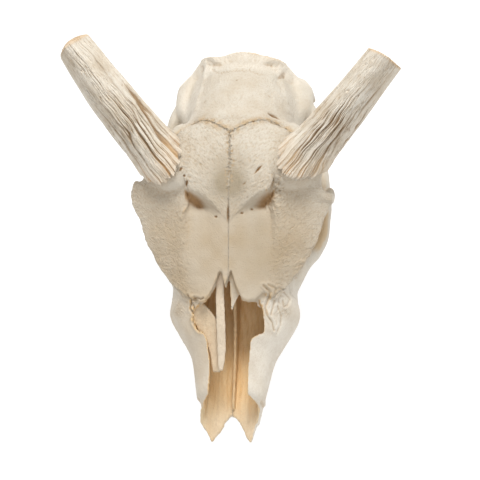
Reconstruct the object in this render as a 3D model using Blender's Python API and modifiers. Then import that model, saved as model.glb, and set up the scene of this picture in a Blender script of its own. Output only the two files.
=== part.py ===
"""A waterbuck's skull without its lower jaw, lying at rest on its cheek teeth and the two
processes behind the ears. The front jaw bones and most of the nose bones are missing and both
horn cores are sawn short, so the nose cavity lies open from above.

Sizes are in millimetres and become metres through MM. X is the animal's left, Y points from
the snout to the back of the head, and Z is up from the floor."""

import math

import bmesh
import bpy
import numpy as np
from mathutils import Matrix, Vector

MM = 0.001
BONE_GAP = 0.35
SKULL = "waterbuck skull"
WORKSHOP = "forms and cutters"
FUSE_VOXEL = 1.3
CORE_VOXEL = 1.6
SKULL_TRIANGLES = 8400
SIDES = {"left": 1, "right": -1}

# Where the origin lies in the skull's own frame: under the middle of its bounding box.
ORIGIN = (1.1, 148.8, 0.0)

# Midline of the skull's top, from the nose bones' seat to the crest at the back: y, z.
RIDGE = ((60, 86), (76, 92), (110, 101), (148, 114), (171, 124), (190, 130), (211, 131),
         (228, 128), (248, 122), (268, 113), (286, 103), (299, 96))

# Free edge of the brow, one side: y, half width, z.
BROW_EDGE = ((68, 25, 84), (79, 31, 84), (88, 40, 83), (98, 48.5, 84), (104, 53, 86), (110, 58, 88),
             (117, 62, 90), (129, 68.5, 95), (141, 72.5, 98.5), (147, 75, 101), (153, 78.5, 103),
             (164, 82, 106), (171, 79.5, 109), (178, 73, 112), (190, 64, 113), (205, 54, 116), (222, 38, 121))
BROW_DROOP = 2.2
BROW_THICK = 6.0

# The raised shield between the horns: its front edge from the midline out, x and y, and its side edge,
# y and x.
SHIELD_FRONT = ((0, 138), (4, 142.5), (8.7, 147.2), (14.6, 152.3), (22, 157), (30, 161.2), (50, 170))
SHIELD_SIDE = ((140, 25), (155, 28), (161.5, 31), (172, 36.5), (181, 43), (200, 60))
SHIELD_RISE = 3.6

# Pits under the shield's front edge, and the shallow troughs that run forward from them.
PIT = {"x": 26.5, "y": 155.5, "length": 7.0, "width": 8.0, "depth": 10.0}
TROUGH = {"x_in": 12.0, "x_out": 35.0, "y_end": 106.0, "depth": 4.0}

# Braincase: y, lowest z, highest z, half widths at the bottom, the middle and the top.
BRAINCASE = ((176, 58, 112, 16, 27, 26), (190, 52, 122, 20, 36, 34), (206, 48, 128, 25, 41, 37),
             (228, 45, 126, 28, 43, 35), (250, 43, 119, 30, 43, 32), (270, 42, 110, 30, 41, 30),
             (286, 41, 101, 30, 39, 27), (294, 42, 95, 28, 35, 23))
BRAINCASE_SQUARE = 2.3

# Wall between the orbits and the base below it.
INTERORBITAL = ((108, 48, 95, 20, 26, 30), (128, 46, 98, 15, 20, 30), (150, 46, 106, 13, 19, 32),
                (172, 47, 114, 14, 23, 34), (192, 48, 120, 17, 30, 34))
BASE = ((150, 44, 60, 8, 11, 10), (180, 42, 60, 10, 14, 12), (215, 38, 58, 12, 17, 16),
        (250, 35, 56, 16, 22, 20), (284, 34, 58, 18, 26, 24), (302, 34, 60, 14, 24, 20))

# Snout: y, lowest z, highest z, half widths at the bottom, the middle and the top.
SNOUT = ((9, 25, 50, 22, 26, 20), (14, 25, 66, 23.5, 27.5, 18.5), (28, 22, 70, 27, 29.7, 17.5),
         (41, 20, 75, 30.5, 32, 18), (47, 19, 77, 32, 33.5, 19), (53, 18.5, 79, 33, 36.5, 21),
         (60, 18, 82, 35, 41, 27), (68, 17, 84, 37, 46, 29), (77, 17, 86, 38, 51.5, 31),
         (84, 17, 88, 39, 53.3, 34), (92, 17, 91, 39.5, 51.3, 40), (100, 17, 93, 39.5, 50, 45),
         (111, 18, 96, 38, 49, 50), (122, 20, 99, 34, 42, 46), (133, 26, 98, 26, 26, 30))
SNOUT_SQUARE = 3.4

# Plate of the palate in front of the snout's broken walls, as the snout's table.
FORE_PALATE = ((-18, 29, 36, 26, 26, 26), (0, 27, 38, 26, 26.5, 26), (16, 24, 46, 26, 27, 26))

# The plate's broken front edge in plan, and what is cut away around it: x, y.
FORE_EDGE = ((-24.4, 14), (-25, 6.5), (-25.2, -1.8), (-20, -8.4), (-15.5, -16.9), (-13.6, -14), (-6.6, -3.2),
             (-6.8, -0.7), (-3.7, 2.7), (-1.9, 6), (1.5, 4.4), (4.9, 1.1), (8.8, -5.4), (12.4, -12.8),
             (15.3, -16.8), (17.2, -12.7), (19.1, -3.6), (21.4, -1.1), (22.6, 5.6), (23.8, 13))

# Nose cavity: y, floor z, half width inside. The opening above it: y, reach to the right and to the left.
CAVITY = ((-30, 31.5, 22), (0, 32, 21), (20, 32.5, 20), (45, 33, 21), (65, 34, 24), (85, 37, 25),
          (105, 42, 22), (122, 50, 15))
CAVITY_ROOF_DEPTH = 7.5
OPENING = ((-20, 15.5, 15.5), (17, 15.3, 15.3), (30, 14.8, 15.3), (38, 14.8, 16), (47, 16.4, 16.7),
           (54, 17.5, 18), (58, 20, 23), (61, 25.7, 27.4), (70, 28.5, 27), (76, 29, 26.4), (80.5, 24, 25.5))

# Cheek arch, front to back: x, y, z, half thickness, half height.
CHEEK = ((40, 86, 51, 8, 9), (42, 100, 57, 7.5, 13), (48, 114, 59, 7, 13), (55, 127, 58, 6.3, 11),
         (62.5, 136.5, 57, 6, 9.5), (68, 148, 57, 5.3, 8.5), (70, 161, 58.5, 4.4, 8.5),
         (71, 177, 61.5, 4.4, 9), (69, 193, 64, 4, 8), (66, 214, 64, 3.8, 7.5), (61.5, 238, 65, 4.5, 7.5),
         (55, 257, 66, 6, 9), (42, 272, 67, 8, 12))
POSTORBITAL = ((77, 170, 107, 4, 7), (78, 173.5, 97, 3.6, 5.6), (76.5, 176, 85, 3.6, 5.6),
               (72, 176, 70, 4, 7), (70, 175, 62, 4, 8))
FORE_RIM = ((57, 119, 90, 4, 7), (54.5, 116, 80, 5, 7), (52, 116, 70, 6, 8), (52, 118, 62, 6, 8))

# Side of the braincase behind the temple, down to the root of the cheek arch, as the braincase's table.
FLANK = ((222, 50, 96, 38, 40, 30), (234, 48, 106, 44, 45, 32), (246, 47, 107, 54, 51, 32),
         (256, 46, 106, 60, 56, 31), (264, 46, 104, 61, 57, 30), (272, 46, 99, 58, 55, 27),
         (279, 46, 94, 54, 50, 24), (285, 48, 88, 46, 42, 18))

# Back wall of the head: z, half width, y at the midline, y at the wing's edge.
OCCIPUT = ((40, 30, 287, 276), (50, 44, 288, 272), (61, 59, 288.5, 268), (71, 56.5, 289, 275),
           (80, 48.5, 289, 282), (88.5, 38.5, 289.5, 288), (94, 29, 290, 290.5), (98, 17, 291, 291))
OCCIPUT_THICK = (8.0, 2.6)
CONDYLE = {"at": (15, 303, 46), "size": (11, 12, 14)}
FORAMEN = ((0, 320, 55, 11, 11), (0, 278, 57, 9, 9))
CHOANA = ((0, 176, 36, 9, 9), (0, 150, 38, 9, 10), (0, 118, 42, 8, 8), (0, 104, 52, 8, 8))
JUGULAR = ((38, 284, 56, 8, 9), (38, 288, 40, 6, 8), (37, 290, 26, 4.2, 7), (35, 289, 12, 3.4, 5.5),
           (33, 287, -6, 3, 4.5))
BULLA = {"at": (25, 266, 40), "size": (9, 13, 13)}
EAR_TUBE = ((24, 268, 52, 5, 5), (50, 266, 56, 5.5, 5.5))
PTERYGOID = ((12, 124, 40, 2.2, 9), (12, 140, 41, 2, 12), (12.5, 158, 40, 1.9, 12), (14, 174, 42, 2.6, 9))

# Horn cores: middle of the base and of the sawn end, half widths there, and the way both cuts face.
HORN_BASE = {"left": (59.3, 188.6, 124.9), "right": (-56.9, 190.1, 124.6)}
HORN_TIP = {"left": (124.0, 244.8, 180.0), "right": (-119.2, 260.4, 180.0)}
HORN_TIP_FACING = {"left": (0.53, 0.81, 0.26), "right": (-0.24, 0.88, 0.41)}
HORN_RADII = (20.4, 14.6)
HORN_SAG = 2.0
HORN_FLUTES = 9
HORN_FLUTE_DEPTH = 1.0
HORN_BASE_FACING = (0.40, 0.08, 0.91)
HORN_BASE_LIFT = 0.0
PEDICLE = ((-44, 6), (-31, 12), (-20, 17), (-9, 19.3), (4, 19.3), (18, 19.3))
HORN_CLEARANCE = 3.5

# Cheek teeth, front to back: length along the row, width, and the distance from the midline to the outside.
TEETH = ((12, 9.5, 20.5), (13, 11, 22), (14, 12.5, 24.5), (17, 15, 29.5), (21, 17, 35), (22, 16.5, 37.5))
TEETH_START_Y = 28.0
TOOTH_TOP = 23.0
TOOTH_SPACE = 0.8

# Vault of the palate between the tooth rows: x, y, z, half width, half height.
VAULT = ((0, -40, 14, 13, 12), (0, 20, 13, 10.5, 12.5), (0, 50, 13, 12, 13), (0, 80, 13, 15, 14),
         (0, 110, 14, 19.5, 14), (0, 150, 16, 21, 15))

# Seams: coronal suture in plan, the level where the brow meets the bones below, and the others.
CORONAL = ((0, 208), (6.5, 212), (15, 217.5), (22, 221), (28.5, 224), (34, 223.5), (43, 218), (52, 212),
           (62, 204), (110, 196))
BROW_SEAM_Z = 84.0
BROW_SEAM_FRONT = ((0, 70), (27, 77), (33, 84), (40, 91), (52, 98), (110, 100))
SNOUT_SEAM_Y = 127.0
CHEEK_SEAM = ((110, 93), (47, 93), (44.5, 104), (41, 116), (38, 128), (47, 138), (56, 152), (60, 190),
              (60, 217), (110, 217))
CHEEK_SEAM_LOW = 38.0
SPHENOID_BACK_Y = 204.0

# The nose bones' seat: the broken front edge of the brow in plan, x and y.
NOTCH = ((-60, 40), (-44, 79), (-36, 86), (-30.7, 85.2), (-26, 83.5), (-23.2, 81), (-19.9, 79.4),
         (-15.1, 84.5), (-11.3, 91.3), (-8.5, 98.5), (-6.4, 104.6), (-4.4, 97), (-2.5, 90.5), (-0.2, 97),
         (2.7, 104.6), (3.6, 99.1), (7, 89.5), (10.6, 81.7), (15.3, 80.5), (20.6, 81.7), (24.4, 85.1),
         (26, 89), (32, 87), (44, 79), (60, 40))
# The part of that edge between the outer lobes, which is cut right through.
NOSE_SEAT = ((-24.5, 60), (-24.5, 82), *NOTCH[5:20], (24.4, 85.1), (25.5, 60))

# Pieces left inside the nose: a strip of the nose bones, the vomer, and a thin plate from the right wall.
# The strip and the plate: their two edges' x, y, and the z of the upper face.
NASAL_STRIP = ((-11, -4.4, 106, 94), (-11, -4.4, 98, 90), (-11, -4.4, 89, 86), (-10.6, -3.6, 78, 84),
               (-9.4, -2.2, 62, 81.5), (-8.4, -1.4, 48, 79), (-7.6, -1.6, 38, 77), (-6.4, -3, 29, 75.5))
STRIP_THICK = 2.6
VOMER = ((10, 1.0, 1.1, 30, 36.5), (16, 1.0, 1.2, 30, 41), (45, 1.0, 1.3, 30, 45), (70, 0.8, 1.4, 32, 52),
         (90, 0.4, 1.6, 35, 62), (108, 0, 1.8, 38, 74))
SCROLL = ((-30, -11, 94, 74), (-28.5, -11, 84, 73.5), (-24, -10.6, 70, 72), (-19.5, -10, 60, 70.5),
          (-16.6, -9, 48, 69), (-14.6, -8, 38, 67), (-12.5, -6.6, 31, 65.5))
SCROLL_THICK = 3.0
BONE_COLOUR = (0.80, 0.72, 0.58, 1)
CORE_COLOUR = (0.74, 0.66, 0.54, 1)
INNER_COLOUR = (0.62, 0.47, 0.30, 1)


def clear_scene():
    for obj in list(bpy.data.objects):
        bpy.data.objects.remove(obj, do_unlink=True)


def collection(name):
    made = bpy.data.collections.new(name)
    bpy.context.scene.collection.children.link(made)
    return made


def smooth_rows(rows, steps):
    """Rows of numbers joined by one smooth curve, with this many steps from row to row."""
    rows = np.array(rows, float)
    padded = np.vstack([2 * rows[0] - rows[1], rows, 2 * rows[-1] - rows[-2]])
    out = []
    for a, b, c, d in zip(padded, padded[1:], padded[2:], padded[3:]):
        for i in range(steps):
            t = i / steps
            cubic = (3 * b - a - 3 * c + d) * t**3
            out.append(0.5 * (2 * b + (c - a) * t + (2 * a - 5 * b + 4 * c - d) * t * t + cubic))
    out.append(rows[-1])
    return np.array(out)


def along(rows, column):
    """A function that reads one column of the rows, smoothly, at any value of the first."""
    dense = smooth_rows(rows, 6)
    return lambda at: np.interp(at, dense[:, 0], dense[:, column])


def new_object(name, mesh):
    """A new object among the forms and cutters, from which finished bones are moved out."""
    obj = bpy.data.objects.new(name, mesh)
    bpy.data.collections[WORKSHOP].objects.link(obj)
    return obj


def from_bmesh(name, bm):
    bmesh.ops.recalc_face_normals(bm, faces=bm.faces)
    mesh = bpy.data.meshes.new(name)
    bm.to_mesh(mesh)
    bm.free()
    return new_object(name, mesh)


def loft(name, rings):
    """A closed skin over rings of points, in millimetres."""
    bm = bmesh.new()
    loops = [[bm.verts.new(Vector(point) * MM) for point in ring] for ring in rings]
    count = len(loops[0])
    for a, b in zip(loops, loops[1:]):
        for i in range(count):
            j = (i + 1) % count
            bm.faces.new((a[i], a[j], b[j], b[i]))
    bm.faces.new(loops[0][::-1])
    bm.faces.new(loops[-1])
    return from_bmesh(name, bm)


def signed_power(value, power):
    return math.copysign(abs(value) ** power, value)


def mass(name, stations, square=2.0, points=28):
    """A body lofted along Y. Each station gives y, lowest and highest z, and three half widths."""
    rings = []
    for y, low, high, wide_low, wide_mid, wide_high in smooth_rows(stations, 4):
        ring = []
        for i in range(points):
            angle = 2 * math.pi * i / points
            across = signed_power(math.cos(angle), 2 / square)
            height = signed_power(math.sin(angle), 2 / square)
            end = wide_high if height > 0 else wide_low
            width = wide_mid + (end - wide_mid) * height * height
            ring.append((across * width, y, (low + high) / 2 + height * (high - low) / 2))
        rings.append(ring)
    return loft(name, rings)


def tube(name, path, side=1, points=14, steps=5, up=(0, 0, 1)):
    """An oval bar along a path of x, y, z, half thickness and half height."""
    rows = smooth_rows(path, steps)
    rows[:, 0] *= side
    rings = []
    for i, row in enumerate(rows):
        ahead = Vector(rows[min(i + 1, len(rows) - 1)][:3]) - Vector(rows[max(i - 1, 0)][:3])
        across = ahead.cross(Vector(up)).normalized()
        upward = across.cross(ahead).normalized()
        ring = []
        for k in range(points):
            angle = 2 * math.pi * k / points
            reach = across * math.cos(angle) * row[3] + upward * math.sin(angle) * row[4]
            ring.append(Vector(row[:3]) + reach)
        rings.append(ring)
    return loft(name, rings)


def blob(name, at, size, side=1):
    bm = bmesh.new()
    bmesh.ops.create_uvsphere(bm, u_segments=20, v_segments=14, radius=MM)
    place = Matrix.Translation(Vector((at[0] * side, at[1], at[2])) * MM)
    bmesh.ops.transform(bm, matrix=place @ Matrix.Diagonal((*size, 1)), verts=bm.verts)
    return from_bmesh(name, bm)


def prism(name, outline, low, high):
    """A flat outline of x and y, standing from one height to another."""
    bm = bmesh.new()
    face = bm.faces.new([bm.verts.new((x * MM, y * MM, low * MM)) for x, y in outline])
    grown = bmesh.ops.extrude_face_region(bm, geom=[face])
    tops = [v for v in grown["geom"] if isinstance(v, bmesh.types.BMVert)]
    bmesh.ops.translate(bm, verts=tops, vec=(0, 0, (high - low) * MM))
    return from_bmesh(name, bm)


def evaluated_mesh(obj):
    bpy.context.view_layer.update()
    graph = bpy.context.evaluated_depsgraph_get()
    return bpy.data.meshes.new_from_object(obj.evaluated_get(graph))


def settle(obj):
    """The object with its modifiers applied."""
    mesh = evaluated_mesh(obj)
    obj.modifiers.clear()
    obj.data = mesh
    return obj


def fuse(name, pieces, voxel, smoothing):
    """One closed body grown from overlapping pieces, with its creases softened."""
    bm = bmesh.new()
    for piece in pieces:
        bm.from_mesh(piece.data)
        bpy.data.objects.remove(piece, do_unlink=True)
    obj = from_bmesh(name, bm)
    remesh = obj.modifiers.new("one skin", "REMESH")
    remesh.mode = "VOXEL"
    remesh.voxel_size = voxel * MM
    smooth = obj.modifiers.new("soften", "SMOOTH")
    smooth.factor = 0.5
    smooth.iterations = smoothing
    return settle(obj)


def is_closed(obj):
    """Whether every edge has exactly two faces and every corner one fan of faces."""
    bm = bmesh.new()
    bm.from_mesh(obj.data)
    closed = all(edge.is_manifold for edge in bm.edges) and all(vert.is_manifold for vert in bm.verts)
    bm.free()
    return closed


def carve(obj, cutters, operation="DIFFERENCE"):
    """Cuts the object by each cutter in turn, and removes the cutters. The fused skin has many faces, so
    closed forms use the quick solver."""
    for cutter in cutters:
        boolean = obj.modifiers.new("carve", "BOOLEAN")
        boolean.operation = operation
        boolean.solver = "MANIFOLD" if is_closed(obj) and is_closed(cutter) else "EXACT"
        boolean.object = cutter
        settle(obj)
        bpy.data.objects.remove(cutter, do_unlink=True)
    return obj


def both(make, *args, **options):
    return [make(*args, side=side, **options) for side in SIDES.values()]


def smoothstep(low, high, value):
    t = np.clip((value - low) / (high - low), 0, 1)
    return t * t * (3 - 2 * t)


def brow_height(x, y):
    """Height of the brow's upper face: the arched roof, the raised shield, its pits and troughs."""
    ridge = along(RIDGE, 1)(y)
    reach = np.maximum(along(BROW_EDGE, 1)(y), 1)
    edge = along(BROW_EDGE, 2)(y)
    out = np.abs(x)
    height = ridge - (ridge - edge) * (out / reach) ** BROW_DROOP
    front = np.interp(out, *np.array(SHIELD_FRONT).T)
    side = np.interp(y, *np.array(SHIELD_SIDE).T)
    inside = smoothstep(-1.2, 1.2, y - front) * smoothstep(-1.5, 1.5, side - out)
    height += SHIELD_RISE * inside * smoothstep(0, 20, out) * smoothstep(205, 165, y)
    outside = 1 - inside
    across = smoothstep(TROUGH["x_in"] - 7, TROUGH["x_in"] + 7, out)
    across *= smoothstep(TROUGH["x_out"] + 2, TROUGH["x_out"] - 2, out)
    across *= smoothstep(TROUGH["y_end"], 150, y) * smoothstep(172, 162, y)
    height -= TROUGH["depth"] * outside * across
    away = ((out - PIT["x"]) / PIT["width"]) ** 2 + ((y - PIT["y"]) / PIT["length"]) ** 2
    return height - PIT["depth"] * outside * np.exp(-1.5 * away)


def brow_plate():
    """The forehead and the shelves over the orbits, as a sheet with thickness."""
    rows = smooth_rows(BROW_EDGE, 6)
    columns = np.linspace(-1, 1, 81)
    bm = bmesh.new()
    grid = []
    for y, reach, _ in rows:
        xs = columns * reach
        zs = brow_height(xs, np.full_like(xs, y))
        grid.append([bm.verts.new((x * MM, y * MM, z * MM)) for x, z in zip(xs, zs)])
    for a, b in zip(grid, grid[1:]):
        for i in range(len(a) - 1):
            bm.faces.new((a[i], a[i + 1], b[i + 1], b[i]))
    plate = from_bmesh("brow", bm)
    solidify = plate.modifiers.new("thick", "SOLIDIFY")
    solidify.thickness = BROW_THICK * MM
    solidify.offset = -1
    return settle(plate)


def occiput_plate():
    """The back wall of the head, with the crest's wings swept forward at the sides."""
    rings = []
    for z, wide, back, wing in smooth_rows(OCCIPUT, 4):
        ring = []
        for i in range(40):
            angle = 2 * math.pi * i / 40
            out = abs(math.cos(angle)) ** 0.8
            thick = OCCIPUT_THICK[0] + (OCCIPUT_THICK[1] - OCCIPUT_THICK[0]) * out
            middle = back - (back - wing) * out**2.2
            ring.append((wide * math.copysign(out, math.cos(angle)), middle + thick * math.sin(angle), z))
        rings.append(ring)
    return loft("occiput", rings)


def nose_cavity():
    """The hollow of the nose below its opening and under the brow."""
    floor = along(CAVITY, 1)
    wide = along(CAVITY, 2)
    rings = []
    for y in np.linspace(-30, 122, 40):
        low, half = floor(y), wide(y)
        high = along(RIDGE, 1)(y) - CAVITY_ROOF_DEPTH if y > 60 else 62 + 0.25 * y
        high = max(high - (4 if y < 60 else 0), low + 8)
        shoulder = min(half * 0.8, half - 2 + (y - 60) * 0.02)
        right = [(half * 0.6, low + 0.4), (half, low + 5), (half + 1, low + 14)]
        right += [(half * 0.97, (low + high) / 2 + 6), (shoulder, high - 1)]
        around = [(0, low), *right, (0, high + 1), *[(-x, z) for x, z in right[::-1]]]
        rings.append([(x, y, z) for x, z in around])
    return loft("nose cavity", rings)


def nose_opening():
    """The opening over the hollow, whose edges are the broken tops of the snout's walls."""
    rows = smooth_rows(OPENING, 3)
    outline = [(-right, y) for y, right, _ in rows] + [(left, y) for y, _, left in rows[::-1]]
    return prism("nose opening", outline[::-1], 46, 130)


def strip(name, rows, thick):
    """A thin bent plate along a path: its two edges' x, y and the z of its upper face."""
    rings = []
    for x_low, x_high, y, z in smooth_rows(rows, 2):
        middle, half = (x_low + x_high) / 2, (x_high - x_low) / 2
        ring = []
        for k in range(10):
            angle = 2 * math.pi * k / 10
            rise = thick / 2 * signed_power(math.sin(angle), 0.7)
            ring.append((middle + half * signed_power(math.cos(angle), 0.7), y, z - thick / 2 + rise))
        rings.append(ring)
    return loft(name, rings)


def upright_plate(name, rows):
    """A thin plate on edge: y, middle x, half thickness, lowest and highest z."""
    rings = []
    for y, x, half, low, high in smooth_rows(rows, 3):
        middle = (low + high) / 2
        ring = [(x - half, y, low), (x + half, y, low), (x + half * 0.8, y, middle)]
        ring += [(x + half, y, high - half), (x, y, high), (x - half, y, high - half)]
        ring.append((x - half * 0.8, y, middle))
        rings.append(ring)
    return loft(name, rings)


def horn_axis(name):
    base, tip = Vector(HORN_BASE[name]), Vector(HORN_TIP[name])
    ahead = (tip - base).normalized()
    across = ahead.cross(Vector((0, 0, 1))).normalized()
    return base, tip, ahead, across, across.cross(ahead)


def horn_radius(step):
    return HORN_RADII[0] + (HORN_RADII[1] - HORN_RADII[0]) * step**0.75


def horn_core(name, grow=0.0, start=0.0):
    """A sawn horn core: an oval, fluted shaft on an oblique base. It can be grown to cut its own seat."""
    base, tip, ahead, across, upward = horn_axis(name)
    low_facing, high_facing = Vector(HORN_BASE_FACING), Vector(HORN_TIP_FACING[name])
    low_facing.x *= SIDES[name]
    sag = -upward * HORN_SAG if upward.z > 0 else upward * HORN_SAG
    rings = []
    for step in np.linspace(0, 1, 11):
        centre = base.lerp(tip, step) + sag * math.sin(math.pi * step)
        radius = horn_radius(step) + grow
        ring = []
        for k in range(36):
            angle = 2 * math.pi * k / 36
            flute = HORN_FLUTE_DEPTH * (0.5 + 0.5 * math.cos(HORN_FLUTES * angle + step)) * (1 - 0.8 * step)
            reach = (across * math.cos(angle) * 0.98 + upward * math.sin(angle) * 1.05) * (radius - flute)
            slide = (HORN_BASE_LIFT - start - reach.dot(low_facing) / ahead.dot(low_facing)) * (1 - step) ** 2
            slide -= reach.dot(high_facing) / ahead.dot(high_facing) * step**2
            ring.append(centre + reach + ahead * slide)
        rings.append(ring)
    return loft("horn_core_" + name, rings)


def pedicle(name):
    """The stump of the brow that a horn core stands on."""
    base, tip, ahead, across, upward = horn_axis(name)
    path = []
    for reach, radius in PEDICLE:
        centre = base + ahead * reach
        path.append((*centre, radius, radius * 1.06))
    return tube("pedicle", path, points=28)


def tooth(y, length, width, outside, side):
    """A cheek tooth: one or two rounded lobes with an outer rib, and a flat worn crown."""
    lobes = 1 if length < 15 else 2
    pieces = []
    for lobe in range(lobes):
        size = length / lobes
        middle = y + size * (lobe + 0.5)
        outline = []
        for k in range(14):
            angle = 2 * math.pi * k / 14
            x = outside - width / 2 + width / 2 * signed_power(math.cos(angle), 0.75)
            outline.append((side * x, middle + (size / 2 + 0.6) * signed_power(math.sin(angle), 0.85)))
        if side < 0:
            outline.reverse()
        pieces.append(prism("lobe", outline, -3, TOOTH_TOP))
    return pieces


def tooth_row(side):
    pieces = []
    y = TEETH_START_Y
    for length, width, outside in TEETH:
        pieces += tooth(y, length - TOOTH_SPACE, width, outside, side)
        y += length
    return pieces


def bars(name, path, up):
    return [tube(name, path, side, up=up) for side in SIDES.values()]


def skull_body():
    """Every bone but the horn cores and the pieces inside the nose, as one fused body."""
    upright, forward = (0, 0, 1), (0, 1, 0)
    core = [mass("braincase", BRAINCASE, BRAINCASE_SQUARE), mass("flank", FLANK, 2.0),
            mass("between orbits", INTERORBITAL, 2.4), mass("base", BASE, 2.6),
            mass("snout", SNOUT, SNOUT_SQUARE), mass("fore palate", FORE_PALATE, 4.0)]
    core += both(blob_pair, CONDYLE) + both(blob_pair, BULLA)
    core = fuse("core", core, CORE_VOXEL, 14)
    front = carve(brow_plate(), [prism("nose seat", NOTCH, BROW_SEAM_Z - 8, 130)])
    details = [core, front, occiput_plate()] + [pedicle(name) for name in SIDES]
    details += bars("cheek", CHEEK, upright) + bars("postorbital", POSTORBITAL, forward)
    details += bars("fore rim", FORE_RIM, forward) + bars("ear tube", EAR_TUBE, upright)
    details += bars("pterygoid", PTERYGOID, upright) + bars("jugular", JUGULAR, forward)
    details += tooth_row(1) + tooth_row(-1)
    body = slim(fuse("skull", details, FUSE_VOXEL, 4), SKULL_TRIANGLES)
    foramen = tube("foramen", FORAMEN, points=20)
    choana = tube("choana", CHOANA, points=16)
    notch = prism("notch", NOSE_SEAT, BROW_SEAM_Z - 4, 130)
    fore = prism("fore notch", [(-70, -70), (-70, 14), *FORE_EDGE, (70, 13), (70, -70)][::-1], -10, 60)
    seats = [horn_core(name, HORN_CLEARANCE, BONE_GAP / 0.9) for name in SIDES]
    vault = tube("vault", VAULT, points=20)
    carve(body, [vault, nose_cavity(), nose_opening(), notch, fore, foramen, choana, *seats])
    return body


def blob_pair(form, side):
    return blob("blob", form["at"], form["size"], side)


def triangle_count(obj):
    return sum(len(face.vertices) - 2 for face in obj.data.polygons)


def slim(obj, triangles):
    """The object with about this many triangles, still closed."""
    full = obj.data
    for share in (1, 0.98, 1.02, 0.96, 1.04, 0.94, 1.07, 0.9, 1.1, 0.86):
        obj.data = full.copy()
        decimate = obj.modifiers.new("fewer faces", "DECIMATE")
        decimate.ratio = min(share * triangles / triangle_count(obj), 1)
        settle(obj)
        if is_closed(obj):
            break
    return obj


def copy_of(obj, name):
    return new_object(name, obj.data.copy())


def largest_body(obj):
    """The object with only its biggest closed surface."""
    bm = bmesh.new()
    bm.from_mesh(obj.data)
    bm.verts.ensure_lookup_table()
    seen, groups = set(), []
    for start in bm.verts:
        if start.index in seen:
            continue
        group, front = [], [start]
        seen.add(start.index)
        while front:
            vert = front.pop()
            group.append(vert)
            for edge in vert.link_edges:
                other = edge.other_vert(vert)
                if other.index not in seen:
                    seen.add(other.index)
                    front.append(other)
        groups.append(group)
    groups.sort(key=len, reverse=True)
    bmesh.ops.delete(bm, geom=[vert for group in groups[1:] for vert in group], context="VERTS")
    bm.to_mesh(obj.data)
    bm.free()
    return obj


def outward(outline, by):
    """A plan outline with every side moved out by this much. The outline runs anticlockwise."""
    points = [Vector(point) for point in outline]
    area = sum(a.x * b.y - a.y * b.x for a, b in zip(points, points[1:] + points[:1]))
    if area < 0:
        points.reverse()
    moved = []
    for before, here, after in zip(points[-1:] + points[:-1], points, points[1:] + points[:1]):
        first, second = (here - before).normalized(), (after - here).normalized()
        normal_a, normal_b = Vector((first.y, -first.x)), Vector((second.y, -second.x))
        mitre = normal_a + normal_b
        moved.append(here + mitre * (by / max(1 + normal_a.dot(normal_b), 0.4)))
    return moved


def mirrored(outline, side):
    return [(x * side, y) for x, y in outline]


def take(name, rest, outline, low, high):
    """Cuts one named bone out of the rest, and leaves a thin seam round it."""
    half = BONE_GAP / 2
    piece = copy_of(rest, name)
    carve(piece, [prism("bone room", outward(outline, -half), low + half, high - half)], "INTERSECT")
    carve(rest, [prism("bone seam", outward(outline, half), low - half, high + half)])
    return largest_body(piece)


def fitted(piece, body):
    """A piece trimmed to sit against the body with a thin gap."""
    room = copy_of(body, "room")
    grown = room.modifiers.new("grown", "DISPLACE")
    grown.strength = BONE_GAP * MM
    grown.mid_level = 0
    return largest_body(carve(piece, [settle(room)]))


def cut_bones(body):
    """The skull cut along its main sutures into bones."""
    far, top = 140, 160
    bones = []
    for name, side in SIDES.items():
        plan = [*BROW_SEAM_FRONT, *CORONAL[::-1]]
        bones.append(take("frontal_" + name, body, mirrored(plan, side), BROW_SEAM_Z, top))
    for name, side in SIDES.items():
        bones.append(take("zygomatic_" + name, body, mirrored(CHEEK_SEAM, side), CHEEK_SEAM_LOW, 100))
    for name, side in SIDES.items():
        plan = ((0, -60), (far, -60), (far, SNOUT_SEAM_Y), (0, SNOUT_SEAM_Y))
        bones.append(take("maxilla_" + name, body, mirrored(plan, side), -20, top))
    front, back = SNOUT_SEAM_Y - 10, SPHENOID_BACK_Y
    middle = ((-far, front), (far, front), (far, back), (-far, back))
    bones.append(take("sphenoid", body, middle, -20, BROW_SEAM_Z))
    body.name = "braincase"
    return [*bones, largest_body(body)]


def level_feet(body):
    """Cuts the crowns and the processes flat where the skull rests on the floor."""
    square = ((-200, -100), (200, -100), (200, 400), (-200, 400))
    return carve(body, [prism("floor", square, -60, 0)])


def add_colour(obj, colour):
    material = bpy.data.materials.new(obj.name + "_bone")
    material.diffuse_color = colour
    material.use_nodes = True
    material.node_tree.nodes["Principled BSDF"].inputs["Base Color"].default_value = colour
    material.node_tree.nodes["Principled BSDF"].inputs["Roughness"].default_value = 0.75
    obj.data.materials.clear()
    obj.data.materials.append(material)


def main():
    clear_scene()
    skull = collection(SKULL)
    workshop = collection(WORKSHOP)
    body = level_feet(skull_body())
    inner = [strip("nasal_right", NASAL_STRIP, STRIP_THICK), upright_plate("vomer", VOMER),
             strip("turbinate_right", SCROLL, SCROLL_THICK)]
    for piece in inner:
        fitted(piece, body)
    cores = [horn_core(name) for name in SIDES]
    for obj in inner + cores + cut_bones(body):
        obj.data.transform(Matrix.Translation(Vector(ORIGIN) * -MM))
        add_colour(obj, INNER_COLOUR if obj in inner else CORE_COLOUR if obj in cores else BONE_COLOUR)
        skull.objects.link(obj)
        workshop.objects.unlink(obj)


main()
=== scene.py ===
"""The looks of a waterbuck's skull without its lower jaw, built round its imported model.

It is bleached bone: the front jaw bones and most of the nose bones are gone and both horn cores
are sawn short. Every piece is shaped in the skull's own frame, in millimetres that MM turns into
metres, and then moved so that the model's origin is under its middle. X is the animal's left,
Y points from the snout to the back of the head, and Z is up from the floor."""

import itertools
import math

import bmesh
import bpy
import numpy as np
from mathutils import Matrix, Vector


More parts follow.
